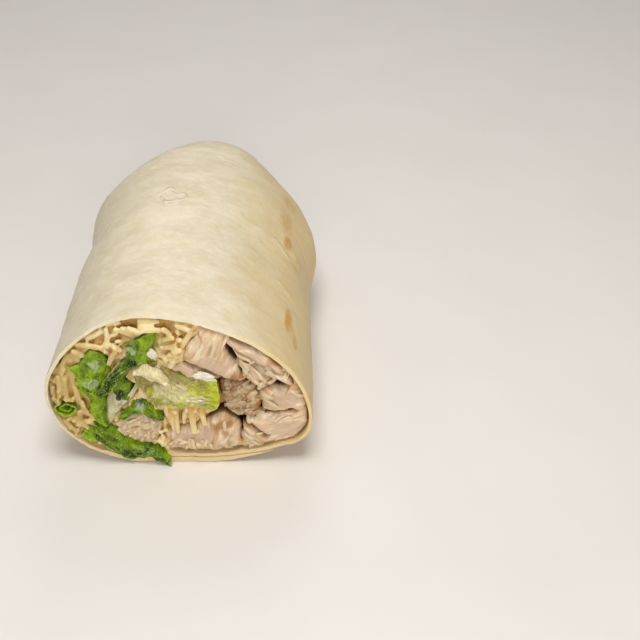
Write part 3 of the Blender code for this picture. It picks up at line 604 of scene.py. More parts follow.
class Batch:
    """Shapes gathered into one piece, with the values that their points carry."""

    def __init__(self):
        self.points, self.faces, self.values, self.count = [], [], {}, 0

    def add(self, points, faces, **values):
        points = np.reshape(points, (-1, 3))
        self.faces += [[int(corner) + self.count for corner in face] for face in faces]
        self.points.append(points)
        self.count += len(points)
        for name, value in values.items():
            full = np.broadcast_to(value, (len(points), *np.shape(value)[1:])).astype(float)
            self.values.setdefault(name, []).append(full)

    def piece(self, name, finish, slot, nodes=()):
        values = {key: np.concatenate(value) for key, value in self.values.items()}
        add_piece(name, np.concatenate(self.points), self.faces, finish, slot, nodes, **values)


def bar(line, across, size, taper=0.0):
    """A closed bar with rounded corners along a line of points. Its width runs across."""
    turns = (np.arange(BAR_SIDES) + 0.5) * math.tau / BAR_SIDES
    profile = np.stack([np.cos(turns), np.sin(turns)], 1) / np.cos(math.pi / BAR_SIDES)
    profile = np.clip(profile, -BLUNT, BLUNT) / BLUNT
    along = unit(np.gradient(line, axis=0))
    across = unit(across - along * np.sum(across * along, axis=1, keepdims=True))
    out = np.cross(along, across)
    narrow = 1 - taper * np.abs(np.linspace(-1, 1, len(line))) ** 3
    wide, thick = (profile[:, k, None] * size[k] / 2 for k in (0, 1))
    rings = line[:, None] + narrow[:, None, None] * (across[:, None] * wide + out[:, None] * thick)
    index = np.arange(len(line) * BAR_SIDES).reshape(-1, BAR_SIDES)
    turned = np.roll(index, -1, axis=1)
    walls = np.stack([index[:-1], index[1:], turned[1:], turned[:-1]], -1).reshape(-1, 4)
    return rings.reshape(-1, 3), [*walls.tolist(), index[0].tolist(), index[-1, ::-1].tolist()]


def towards(heading):
    """The direction of a heading, as (x, z)."""
    return np.array((math.cos(heading), math.sin(heading)))


def bowed(start, end, bow, count=9):
    """A line of (x, z) points from start to end that bows to its left."""
    start, end = np.array(start, float), np.array(end, float)
    share = np.linspace(0, 1, count)[:, None]
    left = np.array((start[1] - end[1], end[0] - start[0])) / np.linalg.norm(end - start)
    return start + (end - start) * share + left * bow * 4 * share * (1 - share)


def lay_flake(batch, face, at, heading, length, size, lift, taper, **values):
    """Lays a flake or a strand on a face along a heading, with one end lifted off it."""
    spots = face.reshape(-1, 3)
    way = towards(heading)
    line = bowed(at - way * length / 2, at + way * length / 2, length * random.uniform(-0.14, 0.14))
    nearest = [np.argmin(np.sum((spots[:, ::2] - spot) ** 2, axis=1)) for spot in line]
    run = np.linspace(-1, 1, len(line))
    y = np.polyval(np.polyfit(run, spots[nearest, 1], 3), run) - lift * (run + 1) / 2
    across = (-way[1], random.uniform(-0.5, 0.5), way[0])
    points, faces = bar(placed(line, y), across, size, taper)
    points += 0.3 * shifts(points, 1.3)
    turned = (points[:, ::2] - at) @ np.array(((way[0], -way[1]), (way[1], way[0])))
    grain = np.column_stack([turned, points[:, 1]]) * MM
    batch.add(points, faces, grain=grain, hollow=0.3, sliced=0, **values)


meat = Finish("cooked_chicken", specular=0.55, soft=0.2, reach=(2.4, 1.3, 0.8))
grain = meat.attribute("grain", "Vector")
threads = meat.marks((6, 0.5, 2), 1, 3.0, grain)
bundles = meat.marks((9, 1.7, 3), 2, 3.0, grain)
clouds = meat.marks(5, 3, 3.0)
hollow = meat.attribute("hollow")
sliced = meat.attribute("sliced")
brown = meat.attribute("brown") + 0.7 * (clouds - 0.5)
meat.set(
    colour=meat.painted(
        (216, 187, 152),
        (meat.attribute("gold") + 1.1 * (clouds - 0.5), (202, 160, 102)),
        # painted highlight: the raised bundles of fibres are painted pinkish white
        (meat.fade(bundles, 0.42, 0.62) * 0.7, (239, 221, 190)),
        (sliced * 0.7, (200, 172, 146)),
        (meat.fade(threads, 0.5, 0.3) * 0.3, (178, 138, 94)),
        (meat.fade(brown, 0.35, 1.0) * 0.85, (164, 110, 44)),
        # painted shade in the hollows, at the rims and down the sides of the chunks
        (meat.fade(hollow, 0.5, 0.95) * 0.85, (112, 68, 24)),
        # each chunk's own darkness; for chicken_pulled it is partly painted shade
        (meat.attribute("dark"), (104, 66, 34)),
        # painted shade: darker further behind the cut, in the gaps between the chunks
        (meat.fade(meat.along(1) - CUT_Y, 2.6, 4.6) * 0.9, (74, 42, 12)),
    ),
    roughness=0.28 + 0.3 * bundles + 0.1 * hollow,
    height=0.16 * threads + 0.25 * bundles + 0.1 * meat.marks(0.9, 4, 3.0),
)
for seed, row in enumerate(CHUNKS, 1):
    node, depth, bulge, heading, layer, step, fibre, browned, flakes, gold, dark, smooth, seared = row
    random.seed(seed)
    shape = (node, depth, bulge, heading, layer, step, fibre, browned, smooth, seared, 20 * seed)
    face, sides, carried = chunk(*shape)
    for name, value in carried.items():
        flat = value.reshape(-1, *value.shape[2:])
        carried[name] = np.concatenate([flat, value[0, :1], value[-1, :1]])
    batch = Batch()
    batch.add(*closed_rings(np.concatenate([face, sides])), gold=gold, dark=dark, **carried)
    for _ in range(flakes):
        ring, side = random.randrange(FACE_RINGS // 3, FACE_RINGS - 3), random.randrange(FACE_SIDES)
        if carried["sliced"][ring * FACE_SIDES + side] > 0.3:
            continue
        size = (random.uniform(1.2, 3.0), random.uniform(0.5, 0.9))
        turn = math.radians(heading + random.uniform(-22, 22))
        tints = {"gold": gold + random.uniform(-0.3, 0.3), "brown": browned / 2}
        tints["dark"] = dark * random.random()
        length, lift = random.uniform(2.4, 5), random.uniform(-0.5, 0.5)
        lay_flake(batch, face, face[ring, side, ::2], turn, length, size, lift, 0.4, **tints)
    count, longest, centre, reach = STRANDS.get(node, (0, 0, None, None))
    for _ in range(count):
        spot = np.array([random.uniform(-1, 1) * size for size in reach]) + centre
        size = (random.uniform(0.8, 2.1), random.uniform(0.6, 1.1))
        tints = {"gold": gold + random.uniform(-0.5, 0.3), "brown": random.random() * browned}
        tints["dark"] = dark / 2
        turn = random.uniform(0, math.pi)
        length, lift = random.uniform(1.5, longest), random.uniform(-0.6, 0.6)
        lay_flake(batch, face, spot, turn, length, size, lift, 0.35, **tints)
    batch.piece(node + "_meat", meat, "chicken", [node])


# Romaine.
# Torn leaves of romaine with a film of dressing. Each shows its face at the cut between a free edge and
# the edge where it turns back into the filling, which holds it. One leaf is pale, with a thick crest.

LEAF = 0.4  # thickness
TURN_DEPTH = 1.9  # how far behind the cut a leaf turns back
TAIL_TAPER = 0.4  # how much narrower it is at the end of its tail
BLADE_STEPS, TAIL_STEPS, LEAF_COLUMNS = 52, 10, 88

# The filling narrows with the roll: (y, width scale, height scale, lift).
FILLING = ((CUT_Y, 1.00, 1.00, 0), (8, 0.90, 0.985, 0), (30, 0.88, 0.94, 0.8), (49, 0.72, 0.75, 5.6))

# Each leaf: node, where its tail ends, depths of its free edge and of where it turns, how far its face
# bulges, how bright it is along the free edge and along the other, as painted light and shade over its own
# green, then its free edge, its turning edge, and the points between their starts and between their ends.
GREEN_LEAVES = (
    ("romaine_left", 20, (0.7, TURN_DEPTH), 0.3, (0.95, 0.5),
     ((-31.8, 37.2), (-30.2, 34), (-29.5, 30.8), (-29, 27.9), (-27, 26.1)),
     ((-21.5, 40.4), (-19.6, 38), (-19.6, 35.2), (-21.6, 31.2), (-23.6, 25.8)),
     ((-30.2, 37), (-27.9, 37.8), (-26.5, 40), (-25, 42.4), (-23.4, 42)), ()),
    ("romaine_long", 26, (-0.2, TURN_DEPTH), 1.5, (0, 0.6),
     ((-13.8, 45.2), (-13.4, 42.6), (-13.9, 39.9), (-16, 38.4), (-18.4, 35.6), (-20.6, 32.6), (-22.2, 29.2),
      (-24, 26.4)),
     ((-5.3, 49.2), (-5.3, 46.4), (-6.4, 42.8), (-6.8, 39.8), (-6.2, 37.6), (-9.4, 38.4), (-12.4, 36.4),
      (-16.2, 30.9), (-20, 27.2), (-21.6, 26)),
     ((-12.4, 46.6), (-10.8, 47.6), (-7.9, 49)), ()),
    ("romaine_tip", 6, (0.5, TURN_DEPTH), 0.3, (0.8, 0.35),
     ((-28.2, 27), (-26.6, 24.2), (-26.2, 19.8), (-25.3, 16.2), (-22.9, 13.9)),
     ((-23.4, 26.6), (-22.2, 23.4), (-22.2, 20), (-22.2, 17), (-21.9, 14.2)), (), ()),
    ("romaine_peppered", 2, (0.9, TURN_DEPTH), 0.2, (0, 0.2),
     ((-19.4, 27.6), (-18.6, 25.8), (-16.8, 24.4)),
     ((-16.2, 31.4), (-14.2, 29.6), (-13.9, 26.4)), ((-18.2, 30),), ((-15.2, 24.4),)),
    ("romaine_folded", 14, (0, TURN_DEPTH), 0.5, (0.3, 0.45),
     ((-18.6, 17.6), (-16.6, 17.4), (-13.9, 19), (-10.5, 19), (-8.6, 17.9), (-7, 16), (-5.3, 16.2)),
     ((-17.4, 18.8), (-15.2, 20.8), (-12.6, 23.6), (-10.6, 23.6), (-8.6, 22.4), (-6.6, 19.8), (-5.2, 17.4)),
     (), ()),
    ("romaine_low", 26, (-1.1, TURN_DEPTH), 0.4, (0.25, 0.6),
     ((-26.6, 10.6), (-22.6, 7.4), (-20.2, 4.6), (-17, 2.4), (-13.7, 2.6), (-10.9, 3.2)),
     ((-26.1, 15.3), (-23.6, 14.4), (-19.8, 11.4), (-16, 8.6), (-13.4, 7), (-11, 6)), (), ()),
    ("romaine_scrap", -20, (0.3, TURN_DEPTH), 0.2, (1.2, 1.1),
     ((-30.6, 10.4), (-28.8, 8.6), (-26.8, 7.6)),
     ((-29.2, 13.4), (-27.4, 12.4), (-25.9, 11)), (), ()),
    ("romaine_poking", -40, (-1.8, -0.6), 0.3, (0.35, 0.45),
     ((-10.6, 3.4), (-8.6, 2.2), (-6.6, 1), (-4.6, 0.4), (-3.6, 0.6)),
     ((-11.6, 6.4), (-9, 6), (-6.2, 4.7), (-3.7, 2)), (), ()),
)
PALE_LEAF = (
    "romaine_pale", 26, (-0.4, TURN_DEPTH), -0.2, (0, 0),
    ((-6.8, 21.1), (-5.1, 22.2), (-1.3, 22.2), (1.5, 21.6), (3.7, 22.5), (6.9, 21.7), (10, 20.4)),
    ((-13.2, 33.2), (-10.4, 36), (-7, 36), (-3.4, 35.2), (-0.8, 33.4), (2.2, 32), (6.6, 31.6), (11.4, 31)),
    ((-8.9, 25.2), (-10, 27.9), (-12, 30)), ((11.8, 22.4), (12.4, 25.9), (11.8, 29.1)),
)
CREST_FREE = (
    (-12.4, 35.3), (-11.2, 35.6), (-9.9, 35.3), (-8, 33.4), (-5.2, 33.1), (-3.2, 31.9), (-2.2, 29.2),
)
CREST_ROOT = (
    (-12.2, 36.9), (-10.6, 38.1), (-8.9, 38.5), (-7.2, 36.9), (-4.6, 35.8), (-3.8, 34.1), (-2.5, 32.1),
    (-1.6, 29.2),
)

# The small leaf rolled up at the left: centre, radius, turns, length.
CURL_CENTRE, CURL_RADIUS, CURL_TURNS, CURL_LENGTH = (-33.9, 20.4), 2.8, 1.5, 28
CURL_SHEET = 0.56  # its thickness
CURL_PLUG = 2.6  # how far in its middle is shut by the leaf's inner folds

RIB_END = 112.4  # how far behind the cut the rib ends
RIB_MIDDLE, RIB_RINGS = (-19.0, 21.2), 18
RIB_EDGE = (
    (-21.7, 13.6), (-19.2, 17.5), (-15.9, 22), (-12.9, 25.6), (-11.9, 27.9), (-12.3, 29.6), (-13.6, 26.6),
    (-15.6, 24.2), (-17.4, 25), (-19.3, 26.2), (-21.4, 24.4), (-22.3, 19.8), (-22.4, 15.4),
)


def settle(points):
    """Narrows points of the filling along its length, as the roll does."""
    x, y, z = np.moveaxis(points, -1, 0)
    stations, wide, high, lift = np.array(FILLING).T
    wide, high, lift = (np.interp(y, stations, scale) for scale in (wide, high, lift))
    return np.stack([x * wide, y, z * high + lift], -1)


def on_line(line, share):
    run = np.linspace(0, 1, len(line))
    return np.stack([np.interp(share, run, column) for column in np.transpose(line)], -1)


def blade(free, turn, first, last, across, along):
    """Places in the section on a patch between four edges, at shares of the way across and along it."""
    free, turn = smooth_line(free, 97), smooth_line(turn, 97)
    first = smooth_line((free[0], *first, turn[0]), 49)
    last = smooth_line((free[-1], *last, turn[-1]), 49)
    u, v = across[..., None], along[..., None]
    corners = (1 - u) * (1 - v) * free[0] + u * (1 - v) * free[-1]
    corners = corners + (1 - u) * v * turn[0] + u * v * turn[-1]
    between = (1 - v) * on_line(free, across) + v * on_line(turn, across)
    return between + (1 - u) * on_line(first, along) + u * on_line(last, along) - corners


def leaf_grid(tail_end, depths, bulge, free, turn, first, last):
    """A leaf as a grid of points, along by across, with each point's share of the way both ways."""
    steps = np.linspace(0, 1, BLADE_STEPS)
    if tail_end is not None:
        steps = np.concatenate([steps, np.linspace(1, 2, TAIL_STEPS + 1)[1:]])
    along, across = np.meshgrid(steps, np.linspace(0, 1, LEAF_COLUMNS), indexing="ij")
    shown, tail = np.minimum(along, 1), np.maximum(along - 1, 0)
    narrow = 0.5 + (across - 0.5) * (1 - TAIL_TAPER * tail)
    flat = blade(free, turn, first, last, narrow, shown)
    y = CUT_Y + depths[0] + (depths[1] - depths[0]) * shown**3 - bulge * 4 * shown * (1 - shown)
    y += tail * ((tail_end or 0) - y)
    return placed(flat, y), along, across


def add_leaf(name, grid, along, across, lit, thickness, ruffled, seed, finish, slot, nodes):
    """A leaf with a puckered face and ruffled edges, from its grid."""
    flat = grid * (1, 0, 1)
    shown = smoothstep(1.25 - along)
    width = np.linalg.norm(np.diff(grid, axis=1), axis=-1).sum(1).max()
    length = np.linalg.norm(np.diff(grid[:BLADE_STEPS], axis=0), axis=-1).sum(0).max()
    skin = np.stack([across * width, along * length, 0 * along], -1)
    puckers = 0.8 * ruffle(skin, (6, 4, 9), seed + 7) + 0.4
    puckers -= 1.6 * np.abs(ruffle(skin, (4.4, 2.1, 9), seed))
    puckers += 0.4 * ruffle(skin, (1.7, 1.1, 9), seed + 1)
    free = np.maximum(1 - np.minimum(along, 1) * 3, 0) ** 2
    side = np.maximum(np.abs(2 * across - 1) * 6 - 5, 0) ** 2 * shown
    grid = settle(grid + shifts(flat, 1.9, seed + 2) * (ruffled * np.maximum(free, side))[..., None])
    normal = normals(grid)
    normal *= -np.sign(np.sum(normal[: BLADE_STEPS // 2, :, 1]))
    middle = grid + normal * (0.75 * puckers * shown)[..., None]
    middle[..., 2] = np.maximum(middle[..., 2], 0.35)
    points, faces = closed_sheet(middle + normal * thickness / 2, middle - normal * thickness / 2)
    skin = skin.reshape(-1, 3) * MM
    lit = (lit + 0.5 * puckers).ravel()
    edge = np.maximum(free, side).ravel()
    carried = {"skin": np.vstack([skin, skin]), "lit": np.tile(lit, 2), "edge": np.tile(edge, 2)}
    add_piece(name, points, faces, finish, slot, nodes, **carried)


def leaf_finish(name, deep, bright, vein, rim, dressing, film, filmed=(), speckled=0.6):
    """A leaf's finish: its darkest and brightest colour, those of its veins, its rim and its film of
    dressing, how much of it is filmed, the places that have most, and how strong its white specks are,
    partly drops of dressing and partly painted glints."""
    leaf = Finish(name, specular=0.2, soft=0.12, reach=(0.8, 1.2, 0.3), film=0.08)
    skin = leaf.attribute("skin", "Vector")
    clouds = leaf.marks(2.6, 1, 3.0)
    veins = leaf.math_of("ABSOLUTE", leaf.marks((2.2, 3.2, 3), 2, 3.0, skin) - 0.5)
    veins = leaf.fade(veins, 0.03, 0.0)
    smear = leaf.marks(1.5, 3, 6.0)
    for (x, z), (across, up), strength in filmed:
        smear = smear + leaf.near((x, CUT_Y, z), (across, 9, up)) * strength
    # painted glints: the white specks stand partly for drops of dressing and partly for glints of light
    drops_and_glints = leaf.fade(leaf.marks(0.5, 4, 1.0), 0.59, 0.68)
    dressed = leaf.fade(smear, 1.05 - film, 1.3 - film) * 0.55 | drops_and_glints * speckled
    leaf.set(
        colour=leaf.painted(
            deep,
            (leaf.attribute("lit") + 1.5 * (clouds - 0.5), bright),
            (veins * 0.35, vein),
            (leaf.fade(leaf.attribute("edge"), 0.55, 1.0) * 0.6, rim),
            (dressed, dressing),
        ),
        roughness=0.12 + 0.25 * leaf.marks(2, 6, 2.0),
        coat=0.04 + 0.7 * dressed,
        height=0.35 * leaf.marks(1.2, 5, 3.0) - 0.2 * veins + 0.2 * dressed,
    )
    return leaf


# Places with most dressing on the green leaves: centre, reach, strength. The white spot at (-12.4, 43.6) is
# also a painted highlight where the leaf is glossy.
FILMED = (
    ((-25.5, 30.2), (4.4, 3.4), 0.45), ((-24, 36.6), (3.6, 3.6), 0.3), ((-11.5, 22.2), (3.6, 2.4), 0.3),
    ((-12.4, 43.6), (2.4, 2.2), 0.6), ((-15.4, 35.8), (1.6, 1.6), 0.3), ((-9.4, 39.6), (2.4, 1.4), 0.2),
    ((-22.8, 25.2), (1.8, 1.6), 0.3), ((-12.6, 5.6), (2.4, 2.4), 0.2), ((-24.4, 17.2), (1, 1), 0.2),
)
green = leaf_finish(
    "romaine_green", (12, 38, 0), (142, 176, 0), (170, 194, 60), (160, 190, 36), (190, 204, 164),
    0.42, FILMED,
)
for seed, (node, tail_end, depths, bulge, bright, *edges) in enumerate(GREEN_LEAVES, 1):
    grid, along, across = leaf_grid(tail_end, depths, bulge, *edges)
    lit = bright[0] + (bright[1] - bright[0]) * np.minimum(along, 1)
    lit += 0.35 * smoothstep((grid[..., 2] - 38) / 5)
    add_leaf(node + "_leaf", grid, along, across, lit, LEAF, 0.7, 10 * seed, green, "romaine", [node])

# Places of cream on the pale leaf: its film of dressing and its own cream, and at (5.4, 24.6) also a
# painted highlight where it is glossy.
CREAMED = (
    ((-1, 27), (8, 5.5), 0.35), ((5.4, 24.6), (5, 2.4), 0.5), ((-5.6, 28), (4, 4), 0.2),
    ((9.4, 24.4), (2, 2), 0.1),
)
pale = leaf_finish(
    "romaine_pale_green", (152, 134, 72), (184, 196, 10), (232, 224, 160), (232, 222, 150), (234, 222, 176),
    0.5, CREAMED, speckled=0.25,
)
node, tail_end, depths, bulge, _, *edges = PALE_LEAF
grid, along, across = leaf_grid(tail_end, depths, bulge, *edges)
x, z = grid[..., 0], grid[..., 2]
# Its own colour runs from cream-tan at the left to yellow-green at the right, and painted shade darkens its
# top, under the crest.
lit = 0.25 + 0.2 * smoothstep((x + 8) / 12) + 0.65 * smoothstep((x - 7.5) / 4)
lit -= 0.5 * smoothstep((z - 28) / 6)
add_leaf("romaine_pale_leaf", grid, along, across, lit, LEAF, 0.5, 100, pale, "romaine_pale", [node])

cream = leaf_finish(
    "romaine_cream", (212, 190, 132), (236, 222, 174), (240, 230, 194), (242, 234, 200), (240, 230, 200),
    0.45,
)
grid, along, across = leaf_grid(None, (-1.3, 0.2), 0.5, CREST_FREE, CREST_ROOT, (), ())
lit = 0.6 + 0 * along
add_leaf("romaine_pale_crest", grid, along, across, lit, 0.55, 0.5, 110, cream, "romaine_pale", [node])


def ball(subdivisions, radius):
    """Points and faces of a ball of triangles."""
    shape = bmesh.new()
    bmesh.ops.create_icosphere(shape, subdivisions=subdivisions, radius=radius)
    return taken(shape)


# The rib of a leaf, cut across and wet, with the peppercorn that sticks beside it.
rib = Finish("romaine_rib", soft=0.35, reach=(2.0, 1.8, 1.1), film=0.12)
fibrous = rib.marks((0.8, 5, 3.2), 1, 3.0)
blotches = rib.marks(3, 2, 3.0)
rib.set(
    colour=rib.painted(
        (206, 196, 156),
        (rib.fade(blotches, 0.4, 0.65), (172, 168, 118)),
        (rib.fade(fibrous, 0.5, 0.75) * 0.5, (226, 220, 190)),
    ),
    roughness=0.22 + 0.2 * blotches,
    coat=0.3 + 0.3 * fibrous,
    height=0.25 * fibrous + 0.15 * rib.marks(0.9, 3, 3.0),
)
outline = from_the_right(smooth_line(RIB_EDGE, FACE_SIDES, closed=True))
middle = np.array(RIB_MIDDLE)
share = (np.arange(1, RIB_RINGS + 1) / RIB_RINGS)[:, None]
spots = middle + (outline - middle) * share[..., None]
flat = placed(spots, 0)
front = 0.5 + 1.6 * share**5 - 0.5 * ruffle(flat, 2.6, 5)
front -= 0.15 * ruffle(flat, 0.8, 6)
sides = [placed(section("romaine_rib", behind), CUT_Y + behind) for behind in (6, *CHUNK_STATIONS, RIB_END)]
points, faces = closed_rings(np.concatenate([placed(spots, CUT_Y + front), sides]))
add_piece("romaine_rib_cut", points, faces, rib, "romaine_pale", ["romaine_rib"])

pepper = Finish("peppercorn", specular=0.4)
crushed = pepper.marks(0.5, 1, 3.0)
pepper.set(
    colour=pepper.painted((26, 24, 16), (crushed, (70, 60, 40))),
    roughness=0.3 + 0.4 * crushed,
    height=0.3 * crushed,
)
points, faces = ball(3, 0.75)
points = points * (1 + 0.25 * ruffle(points, 0.5, 3))[:, None] + (-17.6, CUT_Y - 1.0, 26.0)
add_piece("peppercorn", points, faces, pepper, "romaine", ["romaine_peppered"])

# The rolled-up leaf: a spiral sheet, shut in the middle.
turns = np.linspace(0, 1, 120)
rows = np.concatenate([np.linspace(0, 1, 14) ** 1.4 * 4, (9, 17, CURL_LENGTH)])
row, turn = np.meshgrid(rows, turns, indexing="ij")
angle = 2.4 + math.tau * CURL_TURNS * turn
radius = (CURL_RADIUS - 1.7 * turn) * (1 + 0.06 * np.sin(3 * angle)) * (1 - 0.5 * smoothstep(row / 6))
x, z = CURL_CENTRE[0] + 1.22 * radius * np.cos(angle), CURL_CENTRE[1] + 0.95 * radius * np.sin(angle)
front = 0.2 + 1.1 * turn + 0.15 * np.sin(5 * angle)
grid = np.stack([x, CUT_Y + front + row, z], -1)
grid = settle(grid + 0.35 * shifts(grid, 2.4, 50))
half = normals(grid) * CURL_SHEET / 2
points, faces = closed_sheet(grid + half, grid - half)
skin = np.stack([turn * 20, row, 0 * row], -1).reshape(-1, 3) * MM
edge = np.clip(1.15 - row / 0.8, 0, 1).ravel()
lit = (0.15 + 0.7 * np.exp(-row / 1.2) + 0.3 * (np.sin(angle) < -0.2)).ravel()
batch = Batch()
batch.add(points, faces, skin=np.vstack([skin, skin]), lit=np.tile(lit, 2), edge=np.tile(edge, 2))
ring = np.array([(math.cos(turn), 0, math.sin(turn)) for turn in np.arange(40) * math.tau / 40])
centre = np.array((CURL_CENTRE[0], CUT_Y + CURL_PLUG, CURL_CENTRE[1]))
plug = [
    centre + ring * (1.1 * CURL_RADIUS * size, 0, 0.8 * CURL_RADIUS * size) + (0, deep, 0)
    for size, deep in ((0.3, 0.1), (0.6, -0.1), (0.85, 0.3), (0.8, 3))
]
points, faces = closed_rings(settle(np.array(plug)))
batch.add(points, faces, skin=points * MM, lit=0.1, edge=0.0)
batch.piece("romaine_curled_leaf", green, "romaine", ["romaine_curled"])


# Cheese.
# Hard cheese, grated into strips and pressed in loosely down the left of the roll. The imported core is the
# solid's own, cut back behind the cut. The strips that show are laid over it until the roll is full.

CORE_DEPTH = 5.0
SHRED_SIZE = (1.75, 1.2)  # width and thickness
SHRED_LENGTHS = (1.4, 11.0)
SHRED_TRIES = 26000
SHRED_BED = 3500  # how many of them go below the strips that show best
SHRED_STEP = 1.2  # from ring to ring of its mesh
HUNG_STEPS = 8  # points along a strip that hangs
SUNK = 0.4  # how far a strip presses into those below it
CELL = 0.5  # of the grid on which the height of the heap is kept
HEAP_LOW, HEAP_HIGH = np.array((-41, 1)), np.array((11, 56))  # the corners of the grid, as (x, z)
LEAF_ROOM = 0.5  # kept free behind a leaf
WALL_SLACK, RIM_SLACK = 1.025, 1.035  # how far out the heap may go, and its edge, as shares of the wall
BESIDE = (-3, 36)  # to the left of this or above it, strips also lie on the edges of the chicken
BED_ROOM = 1.0  # how far the strips below those that show best stay under the heap's top
LAST_X = 9.5  # the heap goes no further to the right
STUCK = 0.35  # size of the steps of the skin in which the strips have stuck together
CHEESE_SEED = 11

# Where strips lie in order: centre, reach, heading in degrees from +X, and how many of them keep to it.
COMBED = (
    ((1.5, 16.5), 7.5, 92, 0.95), ((-33, 30), 7, 80, 0.8), ((-20, 48), 9, 28, 0.6), ((-4, 52), 7, 4, 0.7),
    ((3, 47), 5, 64, 0.7), ((-29.5, 24), 4, 100, 0.7), ((-34, 13), 6, 130, 0.4),
)

# The strips that show best: one end, the other, and how far they bow to the left.
LAID_SHREDS = (
    ((-26.9, 47.3), (-20.7, 51), 0.3), ((-25.4, 46.6), (-20, 49.9), -0.4),
    ((-19.4, 51.9), (-14.4, 52.4), 0.2), ((-9.9, 53), (-3.5, 52.7), 0.1),
    ((-9.8, 51.6), (-5.2, 51.8), -0.1), ((-8.8, 50.4), (-3.2, 50.9), 0.1),
    ((-16.7, 50.9), (-10.6, 46.6), 0.4), ((-14.6, 51.8), (-9.6, 47.9), 0.5),
    ((-12.6, 52.3), (-8.6, 50.2), 0.1), ((-21.4, 42.4), (-19, 51), -1.2),
    ((-30.2, 41.6), (-28.3, 38.4), 0.2), ((-29.6, 43.2), (-26.6, 39.9), 0.3),
    ((-28.6, 44.9), (-20.4, 44), 0.3), ((5.4, 50.6), (0.4, 41.6), 0.5), ((-2.6, 51.9), (-0.6, 47.6), 0.2),
    ((-5.4, 51), (-4.2, 46.9), -0.2), ((0.6, 51.6), (5, 50), 0.2), ((-3.3, 46.2), (0.4, 48.3), 0.2),
    ((-3.4, 43.4), (0.8, 45), -0.2), ((-5, 40.6), (-1, 38.9), 0.2), ((-0.6, 42.3), (2.4, 44.2), 0.1),
    ((-16.2, 43.8), (-19.9, 36.4), -0.2), ((-18, 45.4), (-15.2, 42.6), 0.2),
    ((-32.7, 36.3), (-36.4, 30.8), 0.3), ((-32.6, 33.2), (-33.2, 24.6), -0.3),
    ((-34.6, 34.6), (-35.4, 25.6), 0.4), ((-30.8, 29.4), (-29.7, 22.4), 0.2),
    ((-28.8, 24.6), (-27.8, 17.8), -0.2), ((-32.4, 16.6), (-28, 12.6), 0.3),
    ((-35.4, 16), (-31.2, 11.6), -0.2), ((-14.4, 8.4), (-10.8, 7.4), 0.2),
)

# Strips that hang out below the pale leaf, over the chicken: one end, the other.
HUNG_SHREDS = (
    ((-3.4, 22.5), (-2.1, 12)), ((-0.6, 22.4), (-0.8, 11.8)), ((-2.2, 22.6), (-1.5, 12.8)),
    ((3.4, 22.6), (4, 11.9)), ((5.2, 22.4), (4.9, 12.2)), ((2.4, 22), (3.7, 14.2)),
    ((-5.6, 21.6), (-3.4, 14.6)), ((-4.4, 22.4), (-2.8, 13.6)), ((0.6, 22.4), (1.2, 15.2)),
    ((1.6, 22.2), (2, 16.2)), ((6.4, 22), (7.6, 15.2)), ((7.2, 21.6), (8.3, 17.4)),
    ((-5.4, 20.8), (-4.4, 16.6)), ((8.2, 21), (8.8, 18.8)), ((-4.4, 21), (-2.6, 17)),
    ((5.8, 21), (6.4, 16.4)), ((-4, 19), (0.5, 20.2)), ((2, 19.6), (6.6, 18.8)), ((-1, 18), (3, 19.2)),
    ((4.4, 20.8), (0.6, 18.6)), ((-4.4, 19.8), (-2, 20.4)),
)

# Crumbs of cheese: how many, and where: centre, reach across and up.
CRUMBS = (
    (40, (-18, 44.4), (3.4, 2)), (20, (-14.6, 45.2), (2.2, 1.8)), (40, (-0.6, 45.6), (3.6, 3.8)),
    (36, (-31.5, 13.5), (5, 4.5)), (16, (-28, 18), (2.5, 4)), (14, (-35.4, 28), (1.6, 6)),
    (14, (-3.4, 39), (3, 1.8)), (10, (-28.6, 41), (2.4, 2)), (12, (0.5, 20), (6.5, 1)),
    (40, (-33.5, 12.5), (4, 5)), (26, (-6.4, 9.6), (1.4, 3.2)), (30, (-29.8, 20.6), (0.9, 3.2)),
    (24, (-33.8, 24.8), (2.8, 0.8)),
)


def within(points, outline):
    """Whether points of the section lie in a closed outline."""
    inside = np.zeros(points.shape[:-1], bool)
    x, z = np.moveaxis(points, -1, 0)
    for (ax, az), (bx, bz) in zip(outline, np.roll(outline, -1, axis=0)):
        crosses = (az > z) != (bz > z)
        inside ^= crosses & (x < ax + (z - az) / (bz - az if bz != az else 1) * (bx - ax))
    return inside


def seen_from_the_front():
    """The name and depth of the piece that shows at each cell of the heap's grid."""
    points, faces, names = [], [], []
    for name, piece in PIECES.items():
        faces += [[corner + len(points) for corner in face.vertices] for face in piece.data.polygons]
        names += [name] * len(piece.data.polygons)
        points += [vert.co / MM for vert in piece.data.vertices]
    tree = BVHTree.FromPolygons(points, faces)
    columns, rows = ((HEAP_HIGH - HEAP_LOW) / CELL).astype(int)
    seen, depths = np.full((columns, rows), "", dtype=object), np.full((columns, rows), 99.0)
    for column in range(columns):
        for row in range(rows):
            x, z = HEAP_LOW + (np.array((column, row)) + 0.5) * CELL
            place, _, face, _ = tree.ray_cast(Vector((x, CUT_Y - 20, z)), Vector((0, 1, 0)))
            if place:
                seen[column, row], depths[column, row] = names[face], place.y - CUT_Y
    return seen, depths


def cut_back(node, depth):
    """Points and faces of a solid without what lies less than depth behind the cut."""
    shape, _ = sliced_solid(node, depth, kept_whole=False)
    open_edges = [edge for edge in shape.edges if edge.is_boundary]
    bmesh.ops.triangle_fill(shape, edges=open_edges, use_beauty=True)
    points, faces = taken(shape)
    return points / MM, faces


